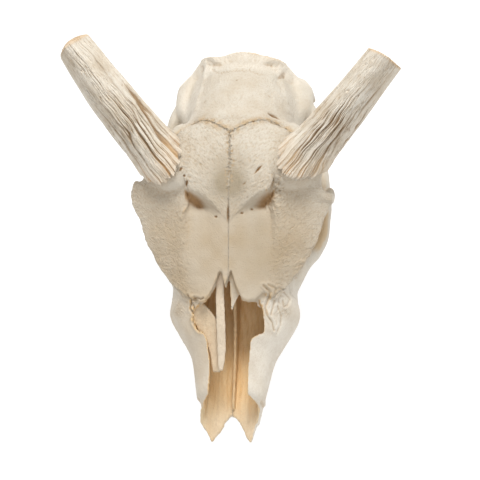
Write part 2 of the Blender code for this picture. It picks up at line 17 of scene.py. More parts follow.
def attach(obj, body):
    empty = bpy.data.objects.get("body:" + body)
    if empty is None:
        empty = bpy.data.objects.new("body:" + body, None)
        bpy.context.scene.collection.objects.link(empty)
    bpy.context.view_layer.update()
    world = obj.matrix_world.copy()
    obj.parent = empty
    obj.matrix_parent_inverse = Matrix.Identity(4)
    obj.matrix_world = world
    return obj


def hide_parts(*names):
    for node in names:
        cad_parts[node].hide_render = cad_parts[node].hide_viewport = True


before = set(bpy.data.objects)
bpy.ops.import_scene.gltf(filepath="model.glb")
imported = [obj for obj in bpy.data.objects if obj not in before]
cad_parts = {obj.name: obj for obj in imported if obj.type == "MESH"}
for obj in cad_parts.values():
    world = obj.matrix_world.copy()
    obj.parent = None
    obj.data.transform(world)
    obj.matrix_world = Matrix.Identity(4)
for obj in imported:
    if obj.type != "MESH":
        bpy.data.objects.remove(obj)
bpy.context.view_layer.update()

MM = 0.001
CORE_VOXEL = 1.6
SIDES = {"left": 1, "right": -1}

# Where the origin lies in the skull's own frame: under the middle of its bounding box.
ORIGIN = (1.1, 148.8, 0.0)

# Midline of the skull's top, from the nose bones' seat to the crest at the back: y, z.
RIDGE = ((60, 86), (76, 92), (110, 101), (148, 114), (171, 124), (190, 130), (211, 131),
         (228, 128), (248, 122), (268, 113), (286, 103), (299, 96))

# Free edge of the brow, one side: y, half width, z.
BROW_EDGE = ((68, 25, 84), (79, 31, 84), (88, 40, 83), (98, 48.5, 84), (104, 53, 86), (110, 58, 88),
             (117, 62, 90), (129, 68.5, 95), (141, 72.5, 98.5), (147, 75, 101), (153, 78.5, 103),
             (164, 82, 106), (171, 79.5, 109), (178, 73, 112), (190, 64, 113), (205, 54, 116),
             (222, 38, 121))
BROW_DROOP = 2.2
BROW_THICK = 6.0

# The raised shield between the horns: its front edge from the midline out, x and y, and its side edge,
# y and x.
SHIELD_FRONT = ((0, 138), (4, 142.5), (8.7, 147.2), (14.6, 152.3), (22, 157), (30, 161.2), (50, 170))
SHIELD_SIDE = ((140, 25), (155, 28), (161.5, 31), (172, 36.5), (181, 43), (200, 60))
SHIELD_RISE = 3.6

# Pits under the shield's front edge, and the shallow troughs that run forward from them.
PIT = {"x": 26.5, "y": 155.5, "length": 7.0, "width": 8.0, "depth": 10.0}
TROUGH = {"x_in": 12.0, "x_out": 35.0, "y_end": 106.0, "depth": 4.0}

# Braincase: y, lowest z, highest z, half widths at the bottom, the middle and the top.
BRAINCASE = ((176, 58, 112, 16, 27, 26), (190, 52, 122, 20, 36, 34), (206, 48, 128, 25, 41, 37),
             (228, 45, 126, 28, 43, 35), (250, 43, 119, 30, 43, 32), (270, 42, 110, 30, 41, 30),
             (286, 41, 101, 30, 39, 27), (294, 42, 95, 28, 35, 23))
BRAINCASE_SQUARE = 2.3

# Wall between the orbits and the base below it.
INTERORBITAL = ((108, 48, 95, 20, 26, 30), (128, 46, 98, 15, 20, 30), (150, 46, 106, 13, 19, 32),
                (172, 47, 114, 14, 23, 34), (192, 48, 120, 17, 30, 34))
BASE = ((150, 44, 60, 8, 11, 10), (180, 42, 60, 10, 14, 12), (215, 38, 58, 12, 17, 16),
        (250, 35, 56, 16, 22, 20), (284, 34, 58, 18, 26, 24), (302, 34, 60, 14, 24, 20))

# Snout: y, lowest z, highest z, half widths at the bottom, the middle and the top.
SNOUT = ((9, 25, 50, 22, 26, 20), (14, 25, 66, 23.5, 27.5, 18.5), (28, 22, 70, 27, 29.7, 17.5),
         (41, 20, 75, 30.5, 32, 18), (47, 19, 77, 32, 33.5, 19), (53, 18.5, 79, 33, 36.5, 21),
         (60, 18, 82, 35, 41, 27), (68, 17, 84, 37, 46, 29), (77, 17, 86, 38, 51.5, 31),
         (84, 17, 88, 39, 53.3, 34), (92, 17, 91, 39.5, 51.3, 40), (100, 17, 93, 39.5, 50, 45),
         (111, 18, 96, 38, 49, 50), (122, 20, 99, 34, 42, 46), (133, 26, 98, 26, 26, 30))
SNOUT_SQUARE = 3.4

# Plate of the palate in front of the snout's broken walls, as the snout's table.
FORE_PALATE = ((-18, 29, 36, 26, 26, 26), (0, 27, 38, 26, 26.5, 26), (16, 24, 46, 26, 27, 26))

# The plate's broken front edge in plan, and what is cut away around it: x, y.
FORE_EDGE = ((-24.4, 14), (-25, 6.5), (-25.2, -1.8), (-20, -8.4), (-15.5, -16.9), (-13.6, -14), (-6.6, -3.2),
             (-6.8, -0.7), (-3.7, 2.7), (-1.9, 6), (1.5, 4.4), (4.9, 1.1), (8.8, -5.4), (12.4, -12.8),
             (15.3, -16.8), (17.2, -12.7), (19.1, -3.6), (21.4, -1.1), (22.6, 5.6), (23.8, 13))

# Nose cavity: y, floor z, half width inside. The opening above it: y, reach to the right and to the left.
CAVITY = ((-30, 31.5, 22), (0, 32, 21), (20, 32.5, 20), (45, 33, 21), (65, 34, 24), (85, 37, 25),
          (105, 42, 22), (122, 50, 15))
CAVITY_ROOF_DEPTH = 7.5
OPENING = ((-20, 15.5, 15.5), (17, 15.3, 15.3), (30, 14.8, 15.3), (38, 14.8, 16), (47, 16.4, 16.7),
           (54, 17.5, 18), (58, 20, 23), (61, 25.7, 27.4), (70, 28.5, 27), (76, 29, 26.4), (80.5, 24, 25.5))

# Cheek arch, front to back: x, y, z, half thickness, half height.
CHEEK = ((40, 86, 51, 8, 9), (42, 100, 57, 7.5, 13), (48, 114, 59, 7, 13), (55, 127, 58, 6.3, 11),
         (62.5, 136.5, 57, 6, 9.5), (68, 148, 57, 5.3, 8.5), (70, 161, 58.5, 4.4, 8.5),
         (71, 177, 61.5, 4.4, 9), (69, 193, 64, 4, 8), (66, 214, 64, 3.8, 7.5), (61.5, 238, 65, 4.5, 7.5),
         (55, 257, 66, 6, 9), (42, 272, 67, 8, 12))
POSTORBITAL = ((77, 170, 107, 4, 7), (78, 173.5, 97, 3.6, 5.6), (76.5, 176, 85, 3.6, 5.6),
               (72, 176, 70, 4, 7), (70, 175, 62, 4, 8))
FORE_RIM = ((57, 119, 90, 4, 7), (54.5, 116, 80, 5, 7), (52, 116, 70, 6, 8), (52, 118, 62, 6, 8))

# Side of the braincase behind the temple, down to the root of the cheek arch, as the braincase's table.
FLANK = ((222, 50, 96, 38, 40, 30), (234, 48, 104, 44, 46, 34), (246, 47, 104, 54, 52, 37),
         (256, 46, 101, 60, 57, 39), (264, 46, 98, 61, 58, 40), (272, 46, 95, 60, 58, 40),
         (280, 46, 91, 58, 55, 38), (288, 46, 86, 52, 50, 34))

# Rear corner of the brow, behind a horn core's foot.
SHOULDER = {"at": (44, 213, 102), "size": (13, 17, 9)}

# Back wall of the head: z, half width, y at the midline, y at the wing's edge.
OCCIPUT = ((40, 30, 287, 276), (50, 44, 288, 272), (61, 59, 288.5, 268), (71, 56.5, 289, 275),
           (80, 48.5, 289, 282), (88.5, 40, 289.5, 287.5), (94, 34, 290, 290), (98, 27, 290.5, 291))
OCCIPUT_THICK = (8.0, 2.6)
# How much farther back the right wing of that wall stands, and how far forward the brow's left corner.
RIGHT_WING_BACK = 4.5
LEFT_CORNER_FORWARD = 9.0
CONDYLE = {"at": (15, 303, 46), "size": (11, 12, 14)}
FORAMEN = ((0, 320, 55, 11, 11), (0, 278, 57, 9, 9))
CHOANA = ((0, 176, 36, 9, 9), (0, 150, 38, 9, 10), (0, 118, 42, 8, 8), (0, 104, 52, 8, 8))
JUGULAR = ((38, 284, 56, 8, 9), (38, 288, 40, 6, 8), (37, 290, 26, 4.2, 7), (35, 289, 12, 3.4, 5.5),
           (33, 287, -6, 3, 4.5))
BULLA = {"at": (25, 266, 40), "size": (9, 13, 13)}
EAR_TUBE = ((24, 268, 52, 5, 5), (50, 266, 56, 5.5, 5.5))
PTERYGOID = ((12, 124, 40, 2.2, 9), (12, 140, 41, 2, 12), (12.5, 158, 40, 1.9, 12), (14, 174, 42, 2.6, 9))

# Horn cores: middle of the base and of the sawn end, half widths there, and the way both cuts face.
HORN_BASE = {"left": (59.3, 188.6, 124.9), "right": (-56.9, 190.1, 124.6)}
HORN_TIP = {"left": (124.0, 244.8, 180.0), "right": (-121.7, 261.5, 180.0)}
HORN_TIP_FACING = {"left": (0.53, 0.81, 0.26), "right": (-0.55, 0.73, 0.40)}
HORN_RADII = (20.4, 14.6)
HORN_SAG = 2.0
HORN_FLUTES = 9
HORN_FLUTE_DEPTH = 1.0
HORN_BASE_FACING = (0.40, 0.08, 0.91)
HORN_BASE_LIFT = 0.0
PEDICLE = ((-44, 6), (-31, 12), (-20, 17), (-9, 19.3), (-3, 18.6), (4, 17.5), (18, 17.5))
HORN_CLEARANCE = 3.5

# Cheek teeth, front to back: length along the row, width, and the distance from the midline to the outside.
TEETH = ((12, 9.5, 20.5), (13, 11, 22), (14, 12.5, 24.5), (17, 15, 29.5), (21, 17, 35), (22, 16.5, 37.5))
TEETH_START_Y = 28.0
TOOTH_TOP = 23.0
TOOTH_SPACE = 0.8

# Vault of the palate between the tooth rows: x, y, z, half width, half height.
VAULT = ((0, -40, 14, 13, 12), (0, 20, 13, 10.5, 12.5), (0, 50, 13, 12, 13), (0, 80, 13, 15, 14),
         (0, 110, 14, 19.5, 14), (0, 150, 16, 21, 15))

# Seams: coronal suture in plan, the level where the brow meets the bones below, and the others.
CORONAL = ((0, 208), (6.5, 212), (15, 217.5), (22, 221), (28.5, 224), (34, 223.5), (43, 218), (52, 212),
           (62, 204), (110, 196))
BROW_SEAM_Z = 84.0
BROW_SEAM_FRONT = ((0, 70), (27, 77), (33, 84), (40, 91), (52, 98), (110, 100))
SNOUT_SEAM_Y = 127.0
CHEEK_SEAM = ((110, 93), (47, 93), (44.5, 104), (41, 116), (38, 128), (47, 138), (56, 152), (60, 190),
              (60, 217), (110, 217))
CHEEK_SEAM_LOW = 38.0
SPHENOID_BACK_Y = 204.0

# The nose bones' seat: the broken front edge of the brow in plan, x and y.
NOTCH = ((-60, 40), (-44, 79), (-36, 86), (-30.7, 85.2), (-26, 83.5), (-23.2, 81), (-19.9, 79.4),
         (-15.1, 84.5), (-11.3, 91.3), (-8.5, 98.5), (-6.4, 104.6), (-4.4, 97), (-2.5, 90.5), (-0.2, 97),
         (2.7, 104.6), (3.6, 99.1), (7, 89.5), (10.6, 81.7), (15.3, 80.5), (20.6, 81.7), (24.4, 85.1),
         (26, 89), (32, 87), (44, 79), (60, 40))
# The part of that edge between the outer lobes, which is cut right through.
NOSE_SEAT = ((-24.5, 60), (-24.5, 82), *NOTCH[5:20], (24.4, 85.1), (25.5, 60))

# Pieces left inside the nose: a strip of the nose bones, the vomer, and a thin plate from the right wall.
# The strip and the plate: their two edges' x, y, and the z of the upper face.
NASAL_STRIP = ((-11, -4.4, 106, 94), (-11, -4.4, 98, 90), (-11, -4.4, 89, 86), (-10.6, -3.6, 78, 84),
               (-9.4, -2.2, 62, 81.5), (-8.4, -1.4, 48, 79), (-7.6, -1.6, 38, 77), (-6.4, -3, 29, 75.5))
STRIP_THICK = 2.6
VOMER = ((10, 1.0, 1.1, 30, 36.5), (16, 1.0, 1.2, 30, 41), (45, 1.0, 1.3, 30, 45), (70, 0.8, 1.4, 32, 52),
         (90, 0.4, 1.6, 35, 62), (108, 0, 1.8, 38, 74))
SCROLL = ((-35, -24, 86, 81), (-35, -18, 80, 79), (-31, -11, 72, 76), (-24.5, -10, 61, 72.5),
          (-16.6, -9, 48, 69), (-14.6, -8, 38, 67), (-12.5, -6.6, 31, 65.5))
SCROLL_THICK = 3.0

# A sliver of the left nose bone, still fast in the notch, as the strip's table. And what is left open: a
# hollow in the left wall of the nose, and the cracks of the snout's broken front, in plan.
SLIVER = ((0.8, 10.6, 106, 95), (0.3, 10, 97, 91.5), (0.4, 8.9, 88, 88), (1.0, 5.4, 81, 85.5),
          (1.6, 3.0, 75.5, 84))
SLIVER_THICK = 1.8
WALL_HOLLOW = {"at": (23, 75, 64), "size": (9, 12, 13)}
CRACKS = (((21.4, 21), (22.4, 20.8), (26.8, 7), (25.2, 7)), ((-26, 16), (-25, 16), (-24, 8), (-25.4, 8)))

# Fineness of the looks.
CUT_VOXEL = 1.0
FINE_VOXEL = 0.75
SEAM = 0.06

# The camera: how far it leans to the animal's left, how high it looks from, its distance, and what one pixel
# covers at that distance. The brow's middle shows 11 pixels left of the picture's middle and 83 above it.
VIEW_LEAN = 8.5
VIEW_HEIGHT = 67.0
VIEW_DISTANCE = 1400.0
VIEW_PIXEL = 0.785
VIEW_HALF = 240
BROW_MIDDLE = (0, 150, 114)
BROW_PIXELS = (11, 157)

# Toothed lines of the sutures: distance from tooth to tooth and how far the teeth swing.
MIDLINE_TEETH = ((70, 1.5, 0.15), (104, 2.4, 0.35), (128, 2.6, 0.3), (150, 2.4, 0.5), (163, 2.3, 1.1),
                 (186, 2.2, 1.7), (208, 2.2, 1.6))
CORONAL_TEETH = (2.6, 1.1)
LAMBDOID = ((-25, 280.5), (-18, 275.2), (-12, 274.2), (-3.5, 275.3), (3, 275), (8.7, 275.7), (13, 272.8),
            (19, 272.7))

# Small openings in the brow and behind it: x, y, half length, half width, turn in degrees and depth.
HOLES = ((17.5, 219.5, 0.9, 0.8, 0, 1.6), (31, 231.2, 3.4, 0.9, -12, 1.8), (-0.6, 263, 0.8, 0.6, 0, 0.8),
         (23.5, 176.5, 3.6, 0.7, 50, 1.5),
         (-11, 143.5, 1.1, 0.6, -20, 1.4), (10.3, 146, 1.0, 0.6, 10, 1.2),
         (17.7, 150.3, 0.9, 0.7, 0, 1.3), (-0.7, 145, 0.7, 5.2, 0, 1.5),
         (-37.5, 176, 1.6, 0.8, 60, 1.6), (-33.5, 167, 1.4, 0.9, 70, 1.5),
         (-35, 171.5, 1.0, 0.7, 60, 1.2), (12.5, 166, 1.4, 0.5, 35, 0.8),
         (-26, 244, 1.2, 0.5, 20, 0.6), (26, 250, 1.4, 0.5, -40, 0.6), (-35, 283, 2.2, 3.4, 20, 0.7),
         (33, 279, 2.0, 5.5, -25, 0.8))

# Raised lines: points in plan, height and half width.
CRESTS = ((((-31, 286), (-31.8, 272), (-32.5, 256), (-34, 240)), 1.0, 2.0),
          (((30.4, 284.7), (36.4, 262), (41, 245)), 1.0, 2.0),
          (((-31.1, 162.6), (-34.1, 158.7), (-34.8, 152.7), (-37.2, 147.5), (-38.7, 142.8)), 1.3, 1.1),
          (((29.4, 162.3), (29.4, 151.2)), 1.2, 0.9), (((-47, 190), (-41.5, 181), (-37, 174.3),
                                                        (-33.3, 164.7)), 0.7, 1.2))

# Crooked furrows in the bones beside the nose: a line in plan, depth and half width.
FURROWS = ((((-30.2, 84.3), (-31.3, 77.5), (-27.8, 73.3), (-29, 67.5), (-25.5, 62.5), (-22.9, 60)), 1.6,
            0.6),
           (((-28.6, 84.3), (-24, 83), (-22, 81.8), (-19.6, 82.7)), 1.2, 0.6),
           (((-28.9, 70.8), (-26, 65.5), (-23.5, 63.8), (-20.1, 60.5)), 1.5, 0.6),
           (((-33.5, 86.8), (-30.5, 84.3), (-27.2, 75.9), (-25.2, 70)), 1.2, 0.5),
           (((27.5, 93), (32.5, 88.8), (30.4, 84.6), (28.3, 78.7), (29.4, 73.7), (33.6, 68.7),
             (34.6, 63.7)), 1.3, 0.55),
           (((38.6, 93.1), (42.6, 92.2), (46.3, 88.9), (44.6, 83.8), (42.3, 82.2), (41.3, 86.3)), 0.8, 0.55),
           (((31.5, 93.9), (37.1, 92.2), (35.1, 84.6), (33.6, 77.9), (32.5, 73.7)), 0.9, 0.55),
           (((37.6, 81.3), (40.3, 75.4), (39.8, 68.8), (36.3, 62.1)), 0.7, 0.6))

# The rough, spongy ridge outside the left pit: a line in plan, its half width and its height.
SPONGY_RIDGE = ((47, 186), (43, 176), (38.5, 166.5), (35, 158), (34, 151))
SPONGY_WIDTH = 8.0
SPONGY_HEIGHT = 0.9

# How far the bone's fine grain turns from straight outward toward the back, in degrees.
GRAIN_TURN = 52.0
# Depth of the hollows under the shield's lip, how much of the pits is filled, and the raggedness of edges.
WEDGE_DEPTH = 3.0
PIT_FILL = 4.5
EDGE_ROUGH = 0.8

# Where the bone is more beige, or greyer, seen from above: x, y, half sizes and strength.
BEIGE_PATCHES = ((-20, 120, 26, 34, 0.8), (22, 118, 26, 36, 1.0), (-55, 130, 14, 30, 0.5),
                 (55, 130, 14, 30, 0.4),
                 (-40, 60, 14, 40, 0.7), (-22, 10, 10, 30, 0.4))
GREY_PATCHES = ((-6, 167, 9, 12, 1.0), (6, 167, 9, 12, 1.0), (22, 118, 20, 30, 0.45),
                (-22, 120, 18, 26, 0.15), (0, 185, 18, 10, 0.25), (24, 140, 8, 12, 0.25),
                (4, 287, 18, 5, 0.25))

HORN_ROWS = 260
HORN_COLUMNS = 400
HORN_RAGGED = 4.0

# The cores' flat faces: the direction round the shaft and the half width in degrees.
HORN_FLATS = {"left": ((15, 38), (120, 27)), "right": ((166, 33), (75, 27))}
# Where a core's foot stands higher than the rest and by how much, and where its middle bulges and by how
# much.
HORN_FOOT_LIFT = {"left": ((126, 3.0), (25, 8.0)), "right": ((80, 5.0),)}
HORN_BELLY = {"left": (0, 0.0), "right": (188, 3.5)}
# The sawn ends: how far the rim is rounded, all round and besides that on the outer side, and how far the
# face bulges.
HORN_ROUND = {"left": (0.7, 0.0), "right": (1.6, 3.4)}
HORN_BULGE = {"left": 0.3, "right": 3.4}

# Colours: the bone, its warmer and greyer patches, its edges, the painted shade in its hollows, holes and
# horn grooves, and the nose's lining.
PALE = (0.71, 0.655, 0.56, 1)
WHITE = (0.84, 0.78, 0.68, 1)
WARM = (0.53, 0.42, 0.285, 1)
SHADE = (0.42, 0.35, 0.25, 1)
EDGE = (0.68, 0.50, 0.29, 1)
# TAN: the darker tone of pores and grain, and also tan painted shade in the hollows.
TAN = (0.50, 0.37, 0.23, 1)
# DARK: painted shade in the deepest hollows, holes and pits of the bone.
DARK = (0.27, 0.15, 0.06, 1)
LINING = (0.88, 0.66, 0.38, 1)
LINING_DARK = (0.78, 0.53, 0.26, 1)
EMBER = (0.56, 0.30, 0.10, 1)
# GROOVE: painted shade down in the horn cores' grooves, and the cells of their sawn ends.
GROOVE = (0.30, 0.18, 0.08, 1)
AMBER = (0.68, 0.42, 0.18, 1)
CORE_PALE = (0.82, 0.76, 0.66, 1)
STRIP_PALE = (0.78, 0.67, 0.53, 1)
ENAMEL = (0.80, 0.74, 0.62, 1)

FLOOR_REACH = 4.0
FLOOR_COLOUR = (0.30, 0.30, 0.30, 1)
FLOOR_GLOW = 0.84
SKY_COLOUR = (1.0, 1.0, 1.0, 1)
SKY_STRENGTH = 0.52
LAMPS = (("key", (0.15, 0.8, 1.4), 0.7, 17.5, (1.0, 0.985, 0.96)),
         ("fill", (0.15, -0.9, 1.3), 0.8, 4.2, (1.0, 0.98, 0.95)))


def smooth_rows(rows, steps):
    """Rows of numbers joined by one smooth curve, with this many steps from row to row."""
    rows = np.array(rows, float)
    padded = np.vstack([2 * rows[0] - rows[1], rows, 2 * rows[-1] - rows[-2]])
    out = []
    for a, b, c, d in zip(padded, padded[1:], padded[2:], padded[3:]):
        for i in range(steps):
            t = i / steps
            cubic = (3 * b - a - 3 * c + d) * t**3
            out.append(0.5 * (2 * b + (c - a) * t + (2 * a - 5 * b + 4 * c - d) * t * t + cubic))
    out.append(rows[-1])
    return np.array(out)


def along(rows, column):
    """A function that reads one column of the rows, smoothly, at any value of the first."""
    dense = smooth_rows(rows, 6)
    return lambda at: np.interp(at, dense[:, 0], dense[:, column])


def new_object(name, mesh):
    obj = bpy.data.objects.new(name, mesh)
    bpy.context.scene.collection.objects.link(obj)
    return obj


def from_bmesh(name, bm):
    bmesh.ops.recalc_face_normals(bm, faces=bm.faces)
    mesh = bpy.data.meshes.new(name)
    bm.to_mesh(mesh)
    bm.free()
    return new_object(name, mesh)


def loft(name, rings):
    """A closed skin over rings of points, in millimetres."""
    bm = bmesh.new()
    loops = [[bm.verts.new(Vector(point) * MM) for point in ring] for ring in rings]
    count = len(loops[0])
    for a, b in zip(loops, loops[1:]):
        for i in range(count):
            j = (i + 1) % count
            bm.faces.new((a[i], a[j], b[j], b[i]))
    bm.faces.new(loops[0][::-1])
    bm.faces.new(loops[-1])
    return from_bmesh(name, bm)


def signed_power(value, power):
    return math.copysign(abs(value) ** power, value)


def mass(name, stations, square=2.0, points=28):
    """A body lofted along Y. Each station gives y, lowest and highest z, and three half widths."""
    rings = []
    for y, low, high, wide_low, wide_mid, wide_high in smooth_rows(stations, 4):
        ring = []
        for i in range(points):
            angle = 2 * math.pi * i / points
            across = signed_power(math.cos(angle), 2 / square)
            height = signed_power(math.sin(angle), 2 / square)
            end = wide_high if height > 0 else wide_low
            width = wide_mid + (end - wide_mid) * height * height
            ring.append((across * width, y, (low + high) / 2 + height * (high - low) / 2))
        rings.append(ring)
    return loft(name, rings)


def tube(name, path, side=1, points=14, steps=5, up=(0, 0, 1)):
    """An oval bar along a path of x, y, z, half thickness and half height."""
    rows = smooth_rows(path, steps)
    rows[:, 0] *= side
    rings = []
    for i, row in enumerate(rows):
        ahead = Vector(rows[min(i + 1, len(rows) - 1)][:3]) - Vector(rows[max(i - 1, 0)][:3])
        across = ahead.cross(Vector(up)).normalized()
        upward = across.cross(ahead).normalized()
        ring = []
        for k in range(points):
            angle = 2 * math.pi * k / points
            reach = across * math.cos(angle) * row[3] + upward * math.sin(angle) * row[4]
            ring.append(Vector(row[:3]) + reach)
        rings.append(ring)
    return loft(name, rings)


def blob(name, at, size, side=1):
    bm = bmesh.new()
    bmesh.ops.create_uvsphere(bm, u_segments=20, v_segments=14, radius=MM)
    place = Matrix.Translation(Vector((at[0] * side, at[1], at[2])) * MM)
    bmesh.ops.transform(bm, matrix=place @ Matrix.Diagonal((*size, 1)), verts=bm.verts)
    return from_bmesh(name, bm)


def prism(name, outline, low, high):
    """A flat outline of x and y, standing from one height to another."""
    bm = bmesh.new()
    face = bm.faces.new([bm.verts.new((x * MM, y * MM, low * MM)) for x, y in outline])
    grown = bmesh.ops.extrude_face_region(bm, geom=[face])
    tops = [v for v in grown["geom"] if isinstance(v, bmesh.types.BMVert)]
    bmesh.ops.translate(bm, verts=tops, vec=(0, 0, (high - low) * MM))
    return from_bmesh(name, bm)


def evaluated_mesh(obj):
    bpy.context.view_layer.update()
    graph = bpy.context.evaluated_depsgraph_get()
    return bpy.data.meshes.new_from_object(obj.evaluated_get(graph))


def settle(obj):
    """The object with its modifiers applied."""
    mesh = evaluated_mesh(obj)
    obj.modifiers.clear()
    obj.data = mesh
    return obj


def fuse(name, pieces, voxel, smoothing):
    """One closed body grown from overlapping pieces, with its creases softened."""
    bm = bmesh.new()
    for piece in pieces:
        bm.from_mesh(piece.data)
        bpy.data.objects.remove(piece, do_unlink=True)
    obj = from_bmesh(name, bm)
    remesh = obj.modifiers.new("one skin", "REMESH")
    remesh.mode = "VOXEL"
    remesh.voxel_size = voxel * MM
    smooth = obj.modifiers.new("soften", "SMOOTH")
    smooth.factor = 0.5
    smooth.iterations = smoothing
    return settle(obj)


def is_closed(obj):
    """Whether every edge has exactly two faces and every corner one fan of faces."""
    bm = bmesh.new()
    bm.from_mesh(obj.data)
    closed = all(edge.is_manifold for edge in bm.edges) and all(vert.is_manifold for vert in bm.verts)
    bm.free()
    return closed


def carve(obj, cutters, operation="DIFFERENCE"):
    """Cuts the object by each cutter in turn, and removes the cutters."""
    for cutter in cutters:
        boolean = obj.modifiers.new("carve", "BOOLEAN")
        boolean.operation = operation
        boolean.solver = "MANIFOLD" if is_closed(obj) and is_closed(cutter) else "EXACT"
        boolean.object = cutter
        settle(obj)
        bpy.data.objects.remove(cutter, do_unlink=True)
    return obj


def both(make, *args, **options):
    return [make(*args, side=side, **options) for side in SIDES.values()]


def smoothstep(low, high, value):
    t = np.clip((value - low) / (high - low), 0, 1)
    return t * t * (3 - 2 * t)


def brow_height(x, y):
    """Height of the brow's upper face: the arched roof, the raised shield, its pits and troughs."""
    ridge = along(RIDGE, 1)(y)
    reach = np.maximum(along(BROW_EDGE, 1)(y), 1)
    edge = along(BROW_EDGE, 2)(y)
    out = np.abs(x)
    height = ridge - (ridge - edge) * (out / reach) ** BROW_DROOP
    front = np.interp(out, *np.array(SHIELD_FRONT).T)
    side = np.interp(y, *np.array(SHIELD_SIDE).T)
    inside = smoothstep(-1.2, 1.2, y - front) * smoothstep(-1.5, 1.5, side - out)
    height += SHIELD_RISE * inside * smoothstep(0, 20, out) * smoothstep(205, 165, y)
    outside = 1 - inside
    across = smoothstep(TROUGH["x_in"] - 7, TROUGH["x_in"] + 7, out)
    across *= smoothstep(TROUGH["x_out"] + 2, TROUGH["x_out"] - 2, out)
    across *= smoothstep(TROUGH["y_end"], 150, y) * smoothstep(172, 162, y)
    height -= TROUGH["depth"] * outside * across
    away = ((out - PIT["x"]) / PIT["width"]) ** 2 + ((y - PIT["y"]) / PIT["length"]) ** 2
    return height - PIT["depth"] * outside * np.exp(-1.5 * away)


def brow_plate():
    """The forehead and the shelves over the orbits, as a sheet with thickness."""
    rows = smooth_rows(BROW_EDGE, 12)
    columns = np.linspace(-1, 1, 161)
    chips = np.random.default_rng(6).uniform(-1, 1, (2, len(rows)))
    bm = bmesh.new()
    grid = []
    for (y, reach, _), right, left in zip(rows, *chips):
        xs = columns * (reach + EDGE_ROUGH * np.where(columns > 0, left, right))
        zs = brow_height(xs, np.full_like(xs, y))
        grid.append([bm.verts.new((x * MM, y * MM, z * MM)) for x, z in zip(xs, zs)])
    for a, b in zip(grid, grid[1:]):
        for i in range(len(a) - 1):
            bm.faces.new((a[i], a[i + 1], b[i + 1], b[i]))
    plate = from_bmesh("brow", bm)
    solidify = plate.modifiers.new("thick", "SOLIDIFY")
    solidify.thickness = BROW_THICK * MM
    solidify.offset = -1
    return settle(plate)


def occiput_plate():
    """The back wall of the head, with the crest's wings swept forward at the sides."""
    rings = []
    for z, wide, back, wing in smooth_rows(OCCIPUT, 4):
        ring = []
        for i in range(40):
            angle = 2 * math.pi * i / 40
            out = abs(math.cos(angle)) ** 0.8
            thick = OCCIPUT_THICK[0] + (OCCIPUT_THICK[1] - OCCIPUT_THICK[0]) * out
            middle = back - (back - wing) * out**2.2
            ring.append((wide * math.copysign(out, math.cos(angle)), middle + thick * math.sin(angle), z))
        rings.append(ring)
    return loft("occiput", rings)


def nose_cavity():
    """The hollow of the nose below its opening and under the brow."""
    floor = along(CAVITY, 1)
    wide = along(CAVITY, 2)
    rings = []
    for y in np.linspace(-30, 122, 40):
        low, half = floor(y), wide(y)
        high = along(RIDGE, 1)(y) - CAVITY_ROOF_DEPTH if y > 60 else 62 + 0.25 * y
        high = max(high - (4 if y < 60 else 0), low + 8)
        shoulder = min(half * 0.8, half - 2 + (y - 60) * 0.02)
        right = [(half * 0.6, low + 0.4), (half, low + 5), (half + 1, low + 14)]
        right += [(half * 0.97, (low + high) / 2 + 6), (shoulder, high - 1)]
        around = [(0, low), *right, (0, high + 1), *[(-x, z) for x, z in right[::-1]]]
        rings.append([(x, y, z) for x, z in around])
    return loft("nose cavity", rings)


def broken(outline, pitch, swing, seed):
    """An outline broken into short uneven steps, as snapped bone is."""
    rng = np.random.default_rng(seed)
    rows = [np.array(point, float) for point in outline]
    out = []
    for a, b in zip(rows, rows[1:] + rows[:1]):
        span = b - a
        normal = np.array((-span[1], span[0])) / max(np.hypot(*span), 1e-9)
        count = max(round(np.hypot(*span) / pitch), 1)
        for i in range(count):
            out.append(tuple(a + span * i / count + normal * swing * rng.uniform(-1, 1) * (i > 0)))
    return out


def nose_opening():
    """The opening over the hollow, whose edges are the broken tops of the snout's walls."""
    rows = smooth_rows(OPENING, 3)
    outline = [(-right, y) for y, right, _ in rows] + [(left, y) for y, _, left in rows[::-1]]
    return prism("nose opening", broken(outline[::-1], 1.4, 0.4, 3), 46, 130)


def strip(name, rows, thick):
    """A thin bent plate along a path: its two edges' x, y and the z of its upper face."""
    rings = []
    for x_low, x_high, y, z in smooth_rows(rows, 2):
        middle, half = (x_low + x_high) / 2, (x_high - x_low) / 2
        ring = []
        for k in range(10):
            angle = 2 * math.pi * k / 10
            rise = thick / 2 * signed_power(math.sin(angle), 0.7)
            ring.append((middle + half * signed_power(math.cos(angle), 0.7), y, z - thick / 2 + rise))
        rings.append(ring)
    return loft(name, rings)


def upright_plate(name, rows):
    """A thin plate on edge: y, middle x, half thickness, lowest and highest z."""
    rings = []
    for y, x, half, low, high in smooth_rows(rows, 3):
        middle = (low + high) / 2
        ring = [(x - half, y, low), (x + half, y, low), (x + half * 0.8, y, middle)]
        ring += [(x + half, y, high - half), (x, y, high), (x - half, y, high - half)]
        ring.append((x - half * 0.8, y, middle))
        rings.append(ring)
    return loft(name, rings)


def horn_axis(name):
    base, tip = Vector(HORN_BASE[name]), Vector(HORN_TIP[name])
    ahead = (tip - base).normalized()
    across = ahead.cross(Vector((0, 0, 1))).normalized()
    return base, tip, ahead, across, across.cross(ahead)


def horn_radius(step):
    return HORN_RADII[0] + (HORN_RADII[1] - HORN_RADII[0]) * step**0.75


